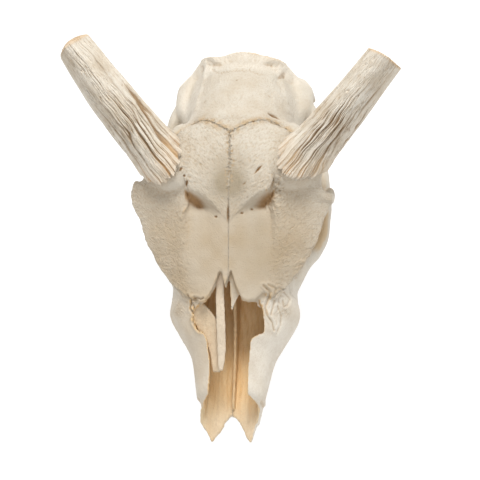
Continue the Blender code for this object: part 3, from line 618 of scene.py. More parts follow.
def horn_core(name, grow=0.0, start=0.0):
    """A sawn horn core: an oval, fluted shaft on an oblique base. It can be grown to cut its own seat."""
    base, tip, ahead, across, upward = horn_axis(name)
    low_facing, high_facing = Vector(HORN_BASE_FACING), Vector(HORN_TIP_FACING[name])
    low_facing.x *= SIDES[name]
    sag = -upward * HORN_SAG if upward.z > 0 else upward * HORN_SAG
    rings = []
    for step in np.linspace(0, 1, 11):
        centre = base.lerp(tip, step) + sag * math.sin(math.pi * step)
        radius = horn_radius(step) + grow
        ring = []
        for k in range(36):
            angle = 2 * math.pi * k / 36
            flute = HORN_FLUTE_DEPTH * (0.5 + 0.5 * math.cos(HORN_FLUTES * angle + step)) * (1 - 0.8 * step)
            reach = (across * math.cos(angle) * 0.98 + upward * math.sin(angle) * 1.05) * (radius - flute)
            low = HORN_BASE_LIFT - start - reach.dot(low_facing) / ahead.dot(low_facing)
            slide = low * (1 - step) ** 2
            slide -= reach.dot(high_facing) / ahead.dot(high_facing) * step**2
            ring.append(centre + reach + ahead * slide)
        rings.append(ring)
    return loft("horn_core_" + name, rings)


def pedicle(name):
    """The stump of the brow that a horn core stands on."""
    base, _, ahead, _, _ = horn_axis(name)
    path = []
    for reach, radius in PEDICLE:
        centre = base + ahead * reach
        path.append((*centre, radius, radius * 1.06))
    return tube("pedicle", path, points=28)


def tooth(y, length, width, outside, side):
    """A cheek tooth: one or two rounded lobes and a flat worn crown."""
    lobes = 1 if length < 15 else 2
    pieces = []
    for lobe in range(lobes):
        size = length / lobes
        middle = y + size * (lobe + 0.5)
        outline = []
        for k in range(14):
            angle = 2 * math.pi * k / 14
            x = outside - width / 2 + width / 2 * signed_power(math.cos(angle), 0.75)
            outline.append((side * x, middle + (size / 2 + 0.6) * signed_power(math.sin(angle), 0.85)))
        if side < 0:
            outline.reverse()
        pieces.append(prism("lobe", outline, -3, TOOTH_TOP))
    return pieces


def bars(name, path, up):
    return [tube(name, path, side, up=up) for side in SIDES.values()]


def outward(outline, by):
    """A plan outline with every side moved out by this much. The outline runs anticlockwise."""
    points = [Vector(point) for point in outline]
    area = sum(a.x * b.y - a.y * b.x for a, b in zip(points, points[1:] + points[:1]))
    if area < 0:
        points.reverse()
    moved = []
    for before, here, after in zip(points[-1:] + points[:-1], points, points[1:] + points[:1]):
        first, second = (here - before).normalized(), (after - here).normalized()
        normal_a, normal_b = Vector((first.y, -first.x)), Vector((second.y, -second.x))
        mitre = normal_a + normal_b
        moved.append(here + mitre * (by / max(1 + normal_a.dot(normal_b), 0.4)))
    return moved


def mirrored(outline, side):
    return [(x * side, y) for x, y in outline]


def level_feet(body):
    """Cuts the crowns and the processes flat where the skull rests on the floor."""
    square = ((-200, -100), (200, -100), (200, 400), (-200, 400))
    return carve(body, [prism("floor", square, -60, 0)])


def points_of(mesh):
    """Corners of a mesh in millimetres, as rows of x, y and z."""
    flat = np.empty(len(mesh.vertices) * 3)
    mesh.vertices.foreach_get("co", flat)
    return flat.reshape(-1, 3) / MM


def normals_of(mesh):
    flat = np.empty(len(mesh.vertices) * 3)
    mesh.vertices.foreach_get("normal", flat)
    return flat.reshape(-1, 3)


def move_points(mesh, points):
    mesh.vertices.foreach_set("co", (points * MM).ravel())
    mesh.update()


def paint(mesh, name, values):
    """Stores one value per corner for the materials to read."""
    layer = mesh.attributes.get(name) or mesh.attributes.new(name, "FLOAT", "POINT")
    layer.data.foreach_set("value", np.clip(values, 0, 1).astype(np.float32))


def paint_vector(mesh, name, rows):
    """Stores millimetres that run along a pattern's own directions, for the materials' noise."""
    layer = mesh.attributes.new(name, "FLOAT_VECTOR", "POINT")
    layer.data.foreach_set("vector", (rows * MM).astype(np.float32).ravel())


def grain(points, size, seed):
    """Smooth random values from -1 to 1 that change over about this many millimetres."""
    lattice = np.random.default_rng(seed).uniform(-1, 1, (32, 32, 32))
    scaled = points / size
    cell = np.floor(scaled).astype(int)
    part = scaled - cell
    part = part * part * (3 - 2 * part)
    total = np.zeros(len(points))
    for corner in itertools.product((0, 1), repeat=3):
        weight = np.where(corner, part, 1 - part).prod(axis=1)
        index = (cell + corner) % 32
        total += weight * lattice[index[:, 0], index[:, 1], index[:, 2]]
    return total


def evened(mesh, rounds, weight=None):
    """The corners after moving toward the middle of their neighbours, by their weight, this many times."""
    edges = np.empty(len(mesh.edges) * 2, int)
    mesh.edges.foreach_get("vertices", edges)
    first, second = edges[0::2], edges[1::2]
    points = points_of(mesh)
    if weight is None:
        weight = np.ones(len(points))
    weight = np.where(weight > 0.01, weight, 0)
    near = (weight[first] > 0) | (weight[second] > 0)
    place, ends = np.unique(np.concatenate([first[near], second[near]]), return_inverse=True)
    first, second = np.split(ends, 2)
    links = np.bincount(ends)
    share = weight[place]
    columns = points[place].T.copy()
    for _ in range(rounds):
        for column in columns:
            total = np.bincount(first, column[second], len(place))
            total += np.bincount(second, column[first], len(place))
            column += share * (total / links - column)
    points[place] = columns.T
    return points


def blended(mesh):
    """Where the fused pieces of the skull are to flow into each other: 1 there and 0 elsewhere, softly."""
    points, normals = points_of(mesh), normals_of(mesh)
    x, y, z = points.T
    out = np.abs(x)
    behind = np.exp(-((y - 225) / 9) ** 2) * smoothstep(96, 102, z) * smoothstep(46, 36, out)
    temple = smoothstep(24, 30, out) * smoothstep(56, 50, out)
    temple *= smoothstep(228, 238, y) * smoothstep(290, 284, y)
    temple *= smoothstep(66, 74, z) * smoothstep(-0.2, 0.2, normals[:, 2])
    return np.maximum(np.maximum(behind, temple), stump(points))


def stump(points):
    """1 round the feet of the horn cores, where the brow's stumps carry them, and 0 elsewhere, softly."""
    weight = np.zeros(len(points))
    for name, side in SIDES.items():
        away = points - np.array(HORN_BASE[name])
        height = away @ (np.array(HORN_BASE_FACING) * (side, 1, 1))
        distance = np.sqrt(np.maximum((away**2).sum(axis=1) - height**2, 0))
        weight = np.maximum(weight, smoothstep(29, 24, distance) * np.exp(-((height + 2) / 7) ** 2))
    return weight


def hollowness(mesh, rounds):
    """How far each corner lies below the average of its surroundings, in millimetres."""
    return ((evened(mesh, rounds) - points_of(mesh)) * normals_of(mesh)).sum(axis=1)


def line_distance(points, line):
    """Distance in plan from each point to a line of x and y."""
    best = np.full(len(points), 1e9)
    line = np.array(line, float)
    for a, b in zip(line, line[1:]):
        span = b - a
        share = np.clip(((points - a) @ span) / max(span @ span, 1e-9), 0, 1)
        best = np.minimum(best, np.hypot(*(points - a - share[:, None] * span).T))
    return best


def toothed(line, pitch, swing, seed):
    """A suture's line with teeth to both sides. Pitch and swing may be functions of the place along Y."""
    rng = np.random.default_rng(seed)
    dense = smooth_rows(line, 12)
    lengths = np.concatenate([[0], np.cumsum(np.hypot(*np.diff(dense, axis=0).T))])
    out, at, way = [dense[0]], 0.0, 1
    while True:
        here = np.array([np.interp(at, lengths, dense[:, k]) for k in (0, 1)])
        step = pitch(here[1]) if callable(pitch) else pitch
        at += step * rng.uniform(0.3, 0.75)
        if at > lengths[-1] - step:
            break
        here = np.array([np.interp(at, lengths, dense[:, k]) for k in (0, 1)])
        ahead = np.array([np.interp(at + 0.5, lengths, dense[:, k]) for k in (0, 1)]) - here
        normal = np.array((-ahead[1], ahead[0])) / max(np.hypot(*ahead), 1e-9)
        reach = swing(here[1]) if callable(swing) else swing
        out.append(here + normal * way * reach * rng.uniform(0.35, 1.0))
        way = -way
    out.append(dense[-1])
    return [tuple(point) for point in out]


def midline_suture():
    table = np.array(MIDLINE_TEETH)
    return toothed(((0, 60), (0, 100), (-0.4, 150), (0.4, 180), (0, 208)),
                   lambda y: np.interp(y, table[:, 0], table[:, 1]),
                   lambda y: np.interp(y, table[:, 0], table[:, 2]), 5)


def coronal_suture():
    """The suture between the brow and the vault behind it, from the midline to the left."""
    inner = toothed(CORONAL[:7], *CORONAL_TEETH, 8)
    return inner + list(CORONAL[7:])


def skull_skin():
    """Every bone but the horn cores, the teeth and the pieces inside the nose, as one fine skin."""
    upright, forward = (0, 0, 1), (0, 1, 0)
    core = [mass("braincase", BRAINCASE, BRAINCASE_SQUARE), mass("between orbits", INTERORBITAL, 2.4),
            mass("base", BASE, 2.6), mass("snout", SNOUT, SNOUT_SQUARE),
            mass("fore palate", FORE_PALATE, 4.0),
            mass("flank", FLANK, 2.0)]
    core += both(blob_pair, CONDYLE) + both(blob_pair, BULLA) + both(blob_pair, SHOULDER)
    core = fuse("core", core, CORE_VOXEL, 14)
    front = carve(brow_plate(), [prism("notch", broken(NOTCH, 1.5, 0.5, 1), BROW_SEAM_Z - 8, 130)])
    details = [core, front, occiput_plate()] + [pedicle(name) for name in SIDES]
    details += bars("cheek", CHEEK, upright) + bars("postorbital", POSTORBITAL, forward)
    details += bars("fore rim", FORE_RIM, forward) + bars("ear tube", EAR_TUBE, upright)
    details += bars("pterygoid", PTERYGOID, upright) + bars("jugular", JUGULAR, forward)
    body = fuse("skull", details, CUT_VOXEL, 7)
    notch = prism("notch", broken(NOSE_SEAT, 1.5, 0.4, 2), BROW_SEAM_Z - 4, 130)
    front_edge = broken([(-70, -70), (-70, 14), *FORE_EDGE, (70, 13), (70, -70)], 1.5, 0.4, 4)
    fore = prism("fore notch", front_edge[::-1], -10, 60)
    cutters = [tube("vault", VAULT, points=20), nose_cavity(), nose_opening(), notch, fore]
    cutters += [tube("foramen", FORAMEN, points=20), tube("choana", CHOANA, points=16),
                blob_pair(WALL_HOLLOW, 1)]
    cutters += [prism("crack", crack, 36, 90) for crack in CRACKS]
    cutters += [horn_core(name, HORN_CLEARANCE) for name in SIDES]
    carve(body, cutters)
    level_feet(body)
    return fuse("skull", [body, strip("sliver", SLIVER, SLIVER_THICK)], FINE_VOXEL, 3)


def blob_pair(form, side):
    return blob("blob", form["at"], form["size"], side)


def is_brow(points, normals):
    """1 on the brow's upper face and 0 elsewhere, softly."""
    x, y, z = points.T
    above = brow_height(x, y)
    near = smoothstep(5, 2.5, np.abs(z - above)) * smoothstep(0.05, 0.3, normals[:, 2])
    return near * smoothstep(66, 70, y) * smoothstep(226, 222, y)


def spot(plan, x, y, long, wide, turn=0.0):
    """1 at a place in plan, fading out over an oval of these half sizes."""
    angle = math.radians(turn)
    ahead = (plan[:, 0] - x) * math.cos(angle) + (plan[:, 1] - y) * math.sin(angle)
    across = (plan[:, 1] - y) * math.cos(angle) - (plan[:, 0] - x) * math.sin(angle)
    return np.exp(-((ahead / long) ** 2 + (across / wide) ** 2))


def sharper_brow(x, y):
    """What the brow has beyond its plain form: the shield's sharp lip and the hollows under it."""
    out = np.abs(x)
    front = np.interp(out, *np.array(SHIELD_FRONT).T)
    side = np.interp(y, *np.array(SHIELD_SIDE).T)
    soft = smoothstep(-1.2, 1.2, y - front) * smoothstep(-1.5, 1.5, side - out)
    sharp = smoothstep(-0.4, 0.4, y - front) * smoothstep(-0.5, 0.5, side - out)
    rise = (SHIELD_RISE * smoothstep(0, 20, out) * smoothstep(205, 165, y)) * (sharp - soft)
    before = front - y
    wedge = smoothstep(-0.2, 0.9, before) * smoothstep(8, 1.5, before)
    wedge *= smoothstep(15, 25, out) * smoothstep(35.5, 34, out)
    away = ((out - PIT["x"]) / PIT["width"]) ** 2 + ((y - PIT["y"]) / PIT["length"]) ** 2
    return rise - WEDGE_DEPTH * wedge + PIT_FILL * (1 - soft) * np.exp(-1.5 * away)


def strokes(points, long, wide, turn, seed):
    """Grain drawn out into short strokes, the same on both sides. Turned by 0 they run straight outward."""
    way = math.radians(turn)
    out = np.abs(points[:, 0])
    ahead = out * math.cos(way) + points[:, 1] * math.sin(way)
    across = points[:, 1] * math.cos(way) - out * math.sin(way)
    layer = points[:, 2] / (3 * wide) + 7 * (points[:, 0] > 0)
    return grain(np.stack([ahead / long, across / wide, layer], axis=1), 1, seed)


def upper_side(points, normals):
    """1 along the hollow between the vault of the skull and the crest's wing, and 0 elsewhere, softly."""
    x, y, z = points.T
    middle = np.interp(y, (225, 245, 262, 276), (42, 45, 45, 40))
    hollow = np.exp(-((np.abs(x) - middle) / 5.5) ** 2) * smoothstep(226, 246, y) * smoothstep(286, 276, y)
    return hollow * smoothstep(0.0, 0.4, normals[:, 2]) * smoothstep(72, 80, z)


def sculpt(skin):
    """The bone's own relief: sutures, pores, ridges and worn edges. Also what the materials read."""
    mesh = skin.data
    move_points(mesh, evened(mesh, 200, blended(mesh)))
    points, normals = points_of(mesh), normals_of(mesh)
    plan = points[:, :2].copy()
    x, y, z = points.T
    out = np.abs(x)
    brow = is_brow(points, normals)
    upper = smoothstep(0.1, 0.4, normals[:, 2]) * smoothstep(84, 90, z)
    points[:, 2] += sharper_brow(x, y) * brow
    fossa = upper_side(points, normals)
    points[:, 2] -= 4.0 * fossa
    shield = brow * smoothstep(-0.5, 1.5, y - np.interp(out, *np.array(SHIELD_FRONT).T))
    shield *= smoothstep(-0.5, 1.5, np.interp(y, *np.array(SHIELD_SIDE).T) - out)
    roof = brow * smoothstep(27, 42, out) * (1 - shield)
    sponge = smoothstep(SPONGY_WIDTH, 0, line_distance(plan, SPONGY_RIDGE) + 2.2 * grain(points, 3.5, 53))
    sponge *= smoothstep(95, 99, z) * smoothstep(0.05, 0.3, normals[:, 2])
    vault = upper * smoothstep(222, 230, y)
    rise = 0.35 * grain(points, 14, 1) + 0.16 * grain(points, 5, 2) + 0.07 * grain(points, 2.2, 3)
    pebbles = 0.6 * grain(points, 1.9, 4) + 0.5 * grain(points, 1.3, 6)
    smooth_dip = spot(plan, 0, 169, 14, 13)
    rise += pebbles * (0.10 + 0.28 * shield + 0.38 * roof + 1.1 * sponge) * (1 - 0.8 * smooth_dip)
    rise += 0.35 * pebbles * stump(points) * smoothstep(84, 92, z)
    rise += vault * (0.5 * grain(points, 8, 51) + 0.2 * grain(points, 3, 52) - 1.2 * spot(plan, 0, 236,
                                                                                          18, 6))
    rise += 0.26 * shield * (1 - smooth_dip) * strokes(points, 3.0, 1.3, 38, 31)
    rise += sponge * (SPONGY_HEIGHT + 0.9 * strokes(points, 3.0, 1.5, 58, 32))
    near = (upper > 0.01) & (out < 70)
    middle, crown, rear = (np.full(len(points), 99.0) for _ in range(3))
    middle[near] = line_distance(plan[near], midline_suture())
    suture = coronal_suture()
    flipped = [(-a, b) for a, b in suture]
    crown[near] = np.minimum(line_distance(plan[near], suture), line_distance(plan[near], flipped))
    rear[near] = line_distance(plan[near], toothed(LAMBDOID, 2.6, 1.4, 12))
    band = np.exp(-(crown / 3.2) ** 2) * upper * smoothstep(60, 46, out)
    seam = 0.4 * np.exp(-(middle / 0.5) ** 2) * smoothstep(100, 150, y) * smoothstep(166, 158, y)
    seam += 0.15 * np.exp(-(crown / 0.5) ** 2)
    seam += 0.7 * np.exp(-(middle / 2.2) ** 2) * smoothstep(158, 166, y) * grain(points, 1.3, 9)
    seam = (seam + 0.6 * np.exp(-(rear / 0.5) ** 2)) * upper
    rise += (pebbles * 0.6 + 0.5 * grain(points, 1.4, 10)) * band - seam
    for line, height, half in CRESTS:
        rise += height * upper * np.exp(-(line_distance(plan, line) / half) ** 2)
    pierced = np.zeros(len(points))
    beside = smoothstep(0.0, 0.25, normals[:, 2]) * smoothstep(60, 66, z) * smoothstep(100, 96, y)
    for line, depth, half in FURROWS:
        away = line_distance(plan, line)
        cut = depth * beside * np.exp(-(away / half) ** 2)
        soft = np.where(x < 0, 0.8, 0.5)
        rise += 0.6 * depth * beside * np.exp(-((away - 1.6) / 0.9) ** 2) - soft * cut
        pierced = np.maximum(pierced, cut * np.where(x < 0, 0.7, 0.1))
    for hole in HOLES:
        depth = hole[5] * upper * np.minimum(spot(plan, *hole[:5]) * 1.6, 1)
        rise -= depth
        pierced = np.maximum(pierced, depth)
    moved = points + normals * rise[:, None]
    moved[:, 1] += RIGHT_WING_BACK * smoothstep(15, 35, -x) * smoothstep(262, 275, y) * smoothstep(50, 60, z)
    moved[:, 1] -= LEFT_CORNER_FORWARD * smoothstep(60, 74, x) * smoothstep(155, 170, y) * smoothstep(80,
                                                                                                      92, z)
    move_points(mesh, moved)
    corner = spot(moved, 76, 165, 12, 12) * smoothstep(84, 92, moved[:, 2])
    move_points(mesh, evened(mesh, 60, corner))
    points, normals = points_of(mesh), normals_of(mesh)
    hollow = hollowness(mesh, 5)
    wide = hollowness(mesh, 40)
    stitch = np.exp(-(middle / 2.7) ** 2) * smoothstep(160, 168, y) * smoothstep(212, 206, y) * upper
    paint_bone(mesh, points, normals, hollow, wide, pierced, band, sponge, roof, stitch)
    even = 0.22 + 0.3 * stump(points) + 0.5 * shield + 0.55 * roof + 0.35 * upper * smoothstep(215, 225, y)
    paint(mesh, "rough", np.maximum(even * (1 - 0.9 * smooth_dip), sponge) + 0.4 * band)
    way = math.radians(GRAIN_TURN)
    ahead = np.abs(x) * math.cos(way) + y * math.sin(way)
    across = y * math.cos(way) - np.abs(x) * math.sin(way)
    paint_vector(mesh, "flow", np.stack([ahead / 2.8, across, z], axis=1))
    return skin


def paint_bone(mesh, points, normals, hollow, wide, pierced, band, sponge, roof, stitch):
    """What the materials read: brown to dark painted shade in the hollows, holes and pits, and where the
    bone is darker, warmer or spongy.
    """
    x, y, z = points.T
    out = np.abs(x)
    plan = points[:, :2]
    # Under the shield's lip: where painted shade darkens the hollow there.
    front = np.interp(out, *np.array(SHIELD_FRONT).T) - y
    wedge = smoothstep(-0.5, 1.0, front) * smoothstep(9, 3, front)
    wedge *= smoothstep(19, 27, out) * smoothstep(36.5, 35, out)
    wedge *= smoothstep(90, 96, z)
    specks = smoothstep(0.1, 0.45, grain(points, 1.3, 45))
    # Painted shade: tan in the hollows, over the sutures' own stain; and dark in the deeper hollows, the
    # holes and the furrows.
    stain_and_shade = smoothstep(0.02, 0.3, hollow) * 0.6 + 0.95 * stitch * specks
    painted_shade = smoothstep(0.45, 1.0, hollow) * 0.6 + smoothstep(0.3, 1.2, pierced) * 0.8
    patches = np.zeros(len(points))
    for px, py, long, wide_half, strength in BEIGE_PATCHES:
        patches += strength * spot(plan, px, py, long, wide_half)
    grey = np.zeros(len(points))
    for px, py, long, wide_half, strength in GREY_PATCHES:
        grey += strength * spot(plan, px, py, long, wide_half)
    top = smoothstep(80, 88, z)
    inside = nose_lining(points, normals)
    recess = spot(points[:, 1:], WALL_HOLLOW["at"][1], WALL_HOLLOW["at"][2], 15, 16) * smoothstep(17, 22, x)
    recess *= inside
    gaps = grain(points, 3, 41)
    # The tan and the dark painted shade, with the sutures' band, and more painted shade in the nose wall's
    # hollow and under the shield's lip.
    paint(mesh, "stain_and_shade", stain_and_shade + 0.25 * band * (0.6 + 0.6 * gaps) + 0.55 * wedge)
    paint(mesh, "painted_shade", painted_shade + 0.5 * recess + 0.55 * wedge * (0.75 + 0.4 * grain(points, 5, 42)))
    paint(mesh, "ember", 1.0 * recess + 0.5 * wedge + 0.35 * inside * smoothstep(80, 105, y))
    paint(mesh, "inside", inside)
    pink = smoothstep(-10, -18, x) * smoothstep(100, 80, y) * (0.45 + 0.2 * grain(points, 9, 46))
    warm = patches * (0.9 + 0.3 * grain(points, 9, 43)) * top + 0.6 * pink
    warm += 0.25 * np.maximum(roof, stump(points))
    paint(mesh, "warmth", warm)
    paint(mesh, "grey", grey * top)
    rims = smoothstep(0.7, 2.0, -wide) * (0.45 + 0.55 * grain(points, 7, 44))
    cheek = smoothstep(58, 64, x) * smoothstep(130, 138, y) * smoothstep(186, 178, y) * smoothstep(80, 72, z)
    cheek *= smoothstep(0.2, 0.6, normals[:, 2])
    paint(mesh, "edge", 0.25 * pink + rims + 0.9 * band * smoothstep(-0.5, 0.5, gaps) + 0.8 * cheek)
    front_white = smoothstep(112, 92, y) * smoothstep(86, 80, z) * (0.7 + 0.3 * smoothstep(-10, 10, x))
    back_white = smoothstep(274, 284, y) * smoothstep(60, 70, z)
    side_white = 0.7 * smoothstep(22, 32, -x) * smoothstep(222, 234, y) * smoothstep(70, 84, z)
    paint(mesh, "white", np.maximum(front_white, np.maximum(back_white, side_white)))
    paint(mesh, "spongy", np.maximum(sponge, roof * 0.7) + 0.5 * band)


def nose_lining(points, normals):
    """1 on the walls, floor and roof of the nose, and less toward its pale front end."""
    x, y, z = points.T
    out = np.abs(x)
    inward = -normals[:, 0] * np.sign(x)
    walls = smoothstep(0.15, 0.5, inward) * smoothstep(36, 33, out) * smoothstep(28, 31,
                                                                                 z) * smoothstep(92, 84, z)
    low = smoothstep(50, 46, z) * smoothstep(28, 31, z) * smoothstep(0.1, 0.5,
                                                                     normals[:, 2]) * smoothstep(27, 25, out)
    roof = smoothstep(-0.1, -0.5, normals[:, 2]) * smoothstep(30, 27, out) * smoothstep(58, 62, z)
    lined = np.maximum(np.maximum(walls, low), roof) * smoothstep(126, 122, y)
    return lined * (0.55 + 0.45 * smoothstep(-8, 30, y + 0.5 * z - 15))


def cut_bones(body):
    """The skull cut along its main sutures into bones."""
    far, top = 140, 160
    half = SEAM / 2
    bones = {}
    middle = midline_suture()
    for name, side in SIDES.items():
        edge = [*BROW_SEAM_FRONT[1:], *coronal_suture()[:0:-1]]
        plan = [(0, 60), (0, 70)] + mirrored(edge, side) + middle[::-1]
        bones["frontal_" + name] = take("frontal_" + name, body, plan, BROW_SEAM_Z, top, half)
    for name, side in SIDES.items():
        bones["zygomatic_" + name] = take("zygomatic_" + name, body, mirrored(CHEEK_SEAM, side),
                                          CHEEK_SEAM_LOW, 100, half)
    for name, side in SIDES.items():
        plan = ((0, -60), (far, -60), (far, SNOUT_SEAM_Y), (0, SNOUT_SEAM_Y))
        bones["maxilla_" + name] = take("maxilla_" + name, body, mirrored(plan, side), -20, top, half)
    base = ((-far, SNOUT_SEAM_Y - 10), (far, SNOUT_SEAM_Y - 10), (far, SPHENOID_BACK_Y),
            (-far, SPHENOID_BACK_Y))
    bones["sphenoid"] = take("sphenoid", body, base, -20, BROW_SEAM_Z, half)
    bones["braincase"] = body
    return bones


def take(name, rest, outline, low, high, half):
    """Cuts one named bone out of the rest, and leaves a hairline round it."""
    piece = new_object("bone_" + name, rest.data.copy())
    carve(piece, [prism("bone room", outward(outline, -half), low + half, high - half)], "INTERSECT")
    carve(rest, [prism("bone seam", outward(outline, half), low - half, high + half)])
    return piece


def horn_surface(name):
    """A sawn horn core: long grooves that deepen to a ragged burr at its base, and a cut end."""
    base, tip, ahead, across, upward = (np.array(v) for v in horn_axis(name))
    low_facing, high_facing = np.array(HORN_BASE_FACING), np.array(HORN_TIP_FACING[name])
    low_facing[0] *= SIDES[name]
    sag = -upward * HORN_SAG if upward[2] > 0 else upward * HORN_SAG
    steps = np.linspace(0, 1, HORN_ROWS)[:, None]
    angle = np.linspace(0, 2 * math.pi, HORN_COLUMNS, endpoint=False)[None, :]
    length = np.linalg.norm(tip - base)
    seed = 20 if name == "left" else 30
    radius = horn_radius(steps) * (1 - smoothstep(0, 0.3, steps) * (1 - flats(name, angle)))
    sway = 0.8 * np.sin(steps * 6 + seed) + 0.7 * np.sin(steps * 15 + 2)
    sway = sway + 0.35 * np.sin(steps * 41 + 3 * angle)
    turned = angle + sway / 20
    ring = np.stack([np.cos(turned) * 20, np.sin(turned) * 20], axis=-1)
    along_mm = np.broadcast_to(steps * length, ring.shape[:2])
    sample = np.concatenate([ring, along_mm[..., None]], axis=-1).reshape(-1, 3)
    shape = ring.shape[:2]
    patch = 0.5 + 0.5 * grain(sample / (1, 1, 3), 8, seed + 3).reshape(shape)
    near_base = 0.25 + 0.75 * smoothstep(0.85, 0.3, steps + 0.5 * (patch - 0.5))
    broad = ridge(sample, 4.4, 90, 5.5, seed).reshape(shape)
    narrow = ridge(sample, 3.0, 60, 6.0, seed + 1).reshape(shape)
    fine = ridge(sample, 1.7, 30, 4.0, seed + 2).reshape(shape)
    sparse = ridge(sample, 4.0, 26, 9.0, seed + 6).reshape(shape) * smoothstep(0.4, 0.65, patch)
    depth = (2.8 * broad + 1.7 * narrow) * near_base * (0.6 + 0.5 * patch)
    depth = np.maximum(depth, 1.2 * sparse) + (0.3 + 0.5 * near_base) * fine
    rough = 0.25 * grain(sample / (1, 1, 4), 4, seed + 4).reshape(shape)
    burr = (0.7 + 1.2 * grain(sample / (1, 1, 3), 3, seed + 7).reshape(shape)) * smoothstep(0.16, 0.0, steps)
    even, outer = HORN_ROUND[name]
    worn = even + outer * np.exp(-((angle - math.radians(200)) / 0.6) ** 2)
    to_end = np.clip(1 - (1 - steps) * length / worn, 0, 1)
    rounding = worn * (1 - np.sqrt(1 - to_end**2 * 0.98))
    side, bulge = HORN_BELLY[name]
    belly = bulge * np.sin(math.pi * steps) * np.maximum(np.cos(angle - math.radians(side)), 0) ** 2
    swell = radius + belly - depth + rough + burr - rounding
    reach = across * (np.cos(angle) * 0.98)[..., None] + upward * (np.sin(angle) * 1.05)[..., None]
    reach = reach * swell[..., None]
    torn = 0.5 + 0.5 * grain(np.concatenate([ring[0], ring[0][:, :1] * 0], axis=1), 2.2, seed + 5)
    lift = 1.5
    for side, most in HORN_FOOT_LIFT[name]:
        lift = lift + most * np.maximum(np.cos(angle - math.radians(side)), 0) ** 3
    slide = (lift - reach @ low_facing / (ahead @ low_facing) - HORN_RAGGED * torn[None,
                                                                                   :]) * (1 - steps) ** 2
    slide -= reach @ high_facing / (ahead @ high_facing) * steps**2
    centre = base + (tip - base) * steps[..., None] + sag * np.sin(math.pi * steps)[..., None]
    skin = centre + reach + ahead * slide[..., None]
    foot = smoothstep(0.2, 0.03, steps)
    # How deep the grooves run: the painted shade in them and the amber at the foot follow it.
    groove = smoothstep(0.5, 1.8, depth)
    rim = smoothstep(0.97, 0.995, steps) * (0.5 + 0.5 * patch) + foot * (0.25 + 0.75 * groove)
    return horn_mesh(name, skin, groove * (1 - 0.4 * foot), rim, sample.reshape(*shape, 3) / (1, 1, 7))


def flats(name, angle):
    """How much of its radius the shaft keeps in each direction, where flat faces cut the round."""
    keep = np.ones_like(angle)
    for middle, half in HORN_FLATS[name]:
        turn = np.maximum(np.cos(angle - math.radians(middle)), 0.2)
        flat = math.cos(math.radians(half)) / turn
        keep = -np.log(np.exp(-60 * keep) + np.exp(-60 * flat)) / 60
    return keep


def ridge(sample, wide, long, sharp, seed):
    """Thin valleys that run along a shaft: 1 at the bottom of one and 0 between them."""
    value = grain(sample / (wide / 2, wide / 2, long), 1, seed)
    return np.clip(1 - np.abs(value) * sharp, 0, 1) ** 1.2


def horn_mesh(name, skin, groove, rim, shaft):
    """Joins a shaft's rows of points, closes both its ends, and stores what its material reads."""
    _, columns, _ = skin.shape
    end, foot = skin[-1], skin[0]
    facing = np.array(HORN_TIP_FACING[name])
    inward = []
    for share in (0.93, 0.8, 0.6, 0.4, 0.2, 0.05):
        bulge = facing * HORN_BULGE[name] * (1 - share**2)
        inward.append(end.mean(axis=0) + (end - end.mean(axis=0)) * share + bulge)
    base, _, ahead, _, _ = (np.array(v) for v in horn_axis(name))
    low_facing = np.array(HORN_BASE_FACING) * (SIDES[name], 1, 1)
    seat = base + (foot - base) * 0.9
    seat -= ahead * ((seat - base) @ low_facing / (ahead @ low_facing))[:, None]
    rings = [seat, *skin, *inward]
    points = np.concatenate(rings)
    count = len(rings)
    faces = []
    for i in range(count - 1):
        for k in range(columns):
            after = (k + 1) % columns
            faces.append((i * columns + k, i * columns + after, (i + 1) * columns + after,
                          (i + 1) * columns + k))
    faces.append(tuple(range(columns))[::-1])
    faces.append(tuple((count - 1) * columns + k for k in range(columns)))
    mesh = bpy.data.meshes.new("horn_core_" + name)
    mesh.from_pydata((points * MM).tolist(), [], faces)
    mesh.update()
    zero = np.zeros((1, columns))
    cap = np.ones((len(inward), columns))
    # Painted shade, dark brown, down in the grooves, and a little on the sawn end.
    paint(mesh, "groove_shade", np.concatenate([zero, groove, cap * 0.1]).ravel())
    paint(mesh, "rim", np.concatenate([zero, rim, cap]).ravel())
    paint(mesh, "cap", np.concatenate([zero, groove * 0, cap]).ravel())
    paint_vector(mesh, "shaft", np.concatenate([shaft[:1], shaft,
                                                np.repeat(shaft[-1:], len(inward), axis=0)]))
    return new_object("bone_horn_core_" + name, mesh)


def tooth_piece(name, side):
    """The cheek teeth of one side: lobed crowns with worn tops, roots sunk into the jaw."""
    lobes = []
    y = TEETH_START_Y
    for length, width, outside in TEETH:
        lobes += tooth(y, length - TOOTH_SPACE, width, outside, side)
        y += length
    piece = fuse("teeth_" + name, lobes, 0.5, 5)
    return level_feet(piece)


def inner_pieces():
    pieces = {"nasal_right": fuse("bone_nasal_right", [strip("strip", NASAL_STRIP, STRIP_THICK)], 0.5, 2),
              "vomer": fuse("bone_vomer", [upright_plate("vomer plate", VOMER)], 0.5, 2),
              "turbinate_right": fuse("bone_turbinate_right", [strip("plate", SCROLL, SCROLL_THICK)], 0.6,
                                      3)}
    lined = {"nasal_right": 0.0, "vomer": 0.8, "turbinate_right": 0.2}
    warmer = {"nasal_right": 0.1, "vomer": 0.0, "turbinate_right": 0.4}
    for name, piece in pieces.items():
        mesh = piece.data
        points = points_of(mesh)
        rise = 0.3 * grain(points, 4, 7) + 0.18 * grain(points, 1.6, 8)
        move_points(mesh, points + normals_of(mesh) * rise[:, None])
        # Painted shade: tan in each piece's hollows.
        paint(mesh, "stain_and_shade", smoothstep(0.05, 0.4, hollowness(mesh, 6)) * 0.7)
        paint(mesh, "inside", np.full(len(points), lined[name]))
        paint(mesh, "rough", np.full(len(points), 0.35))
        paint(mesh, "warmth", np.full(len(points), warmer[name]))
        paint_vector(mesh, "flow", points * (1, 0.3, 1))
    return pieces


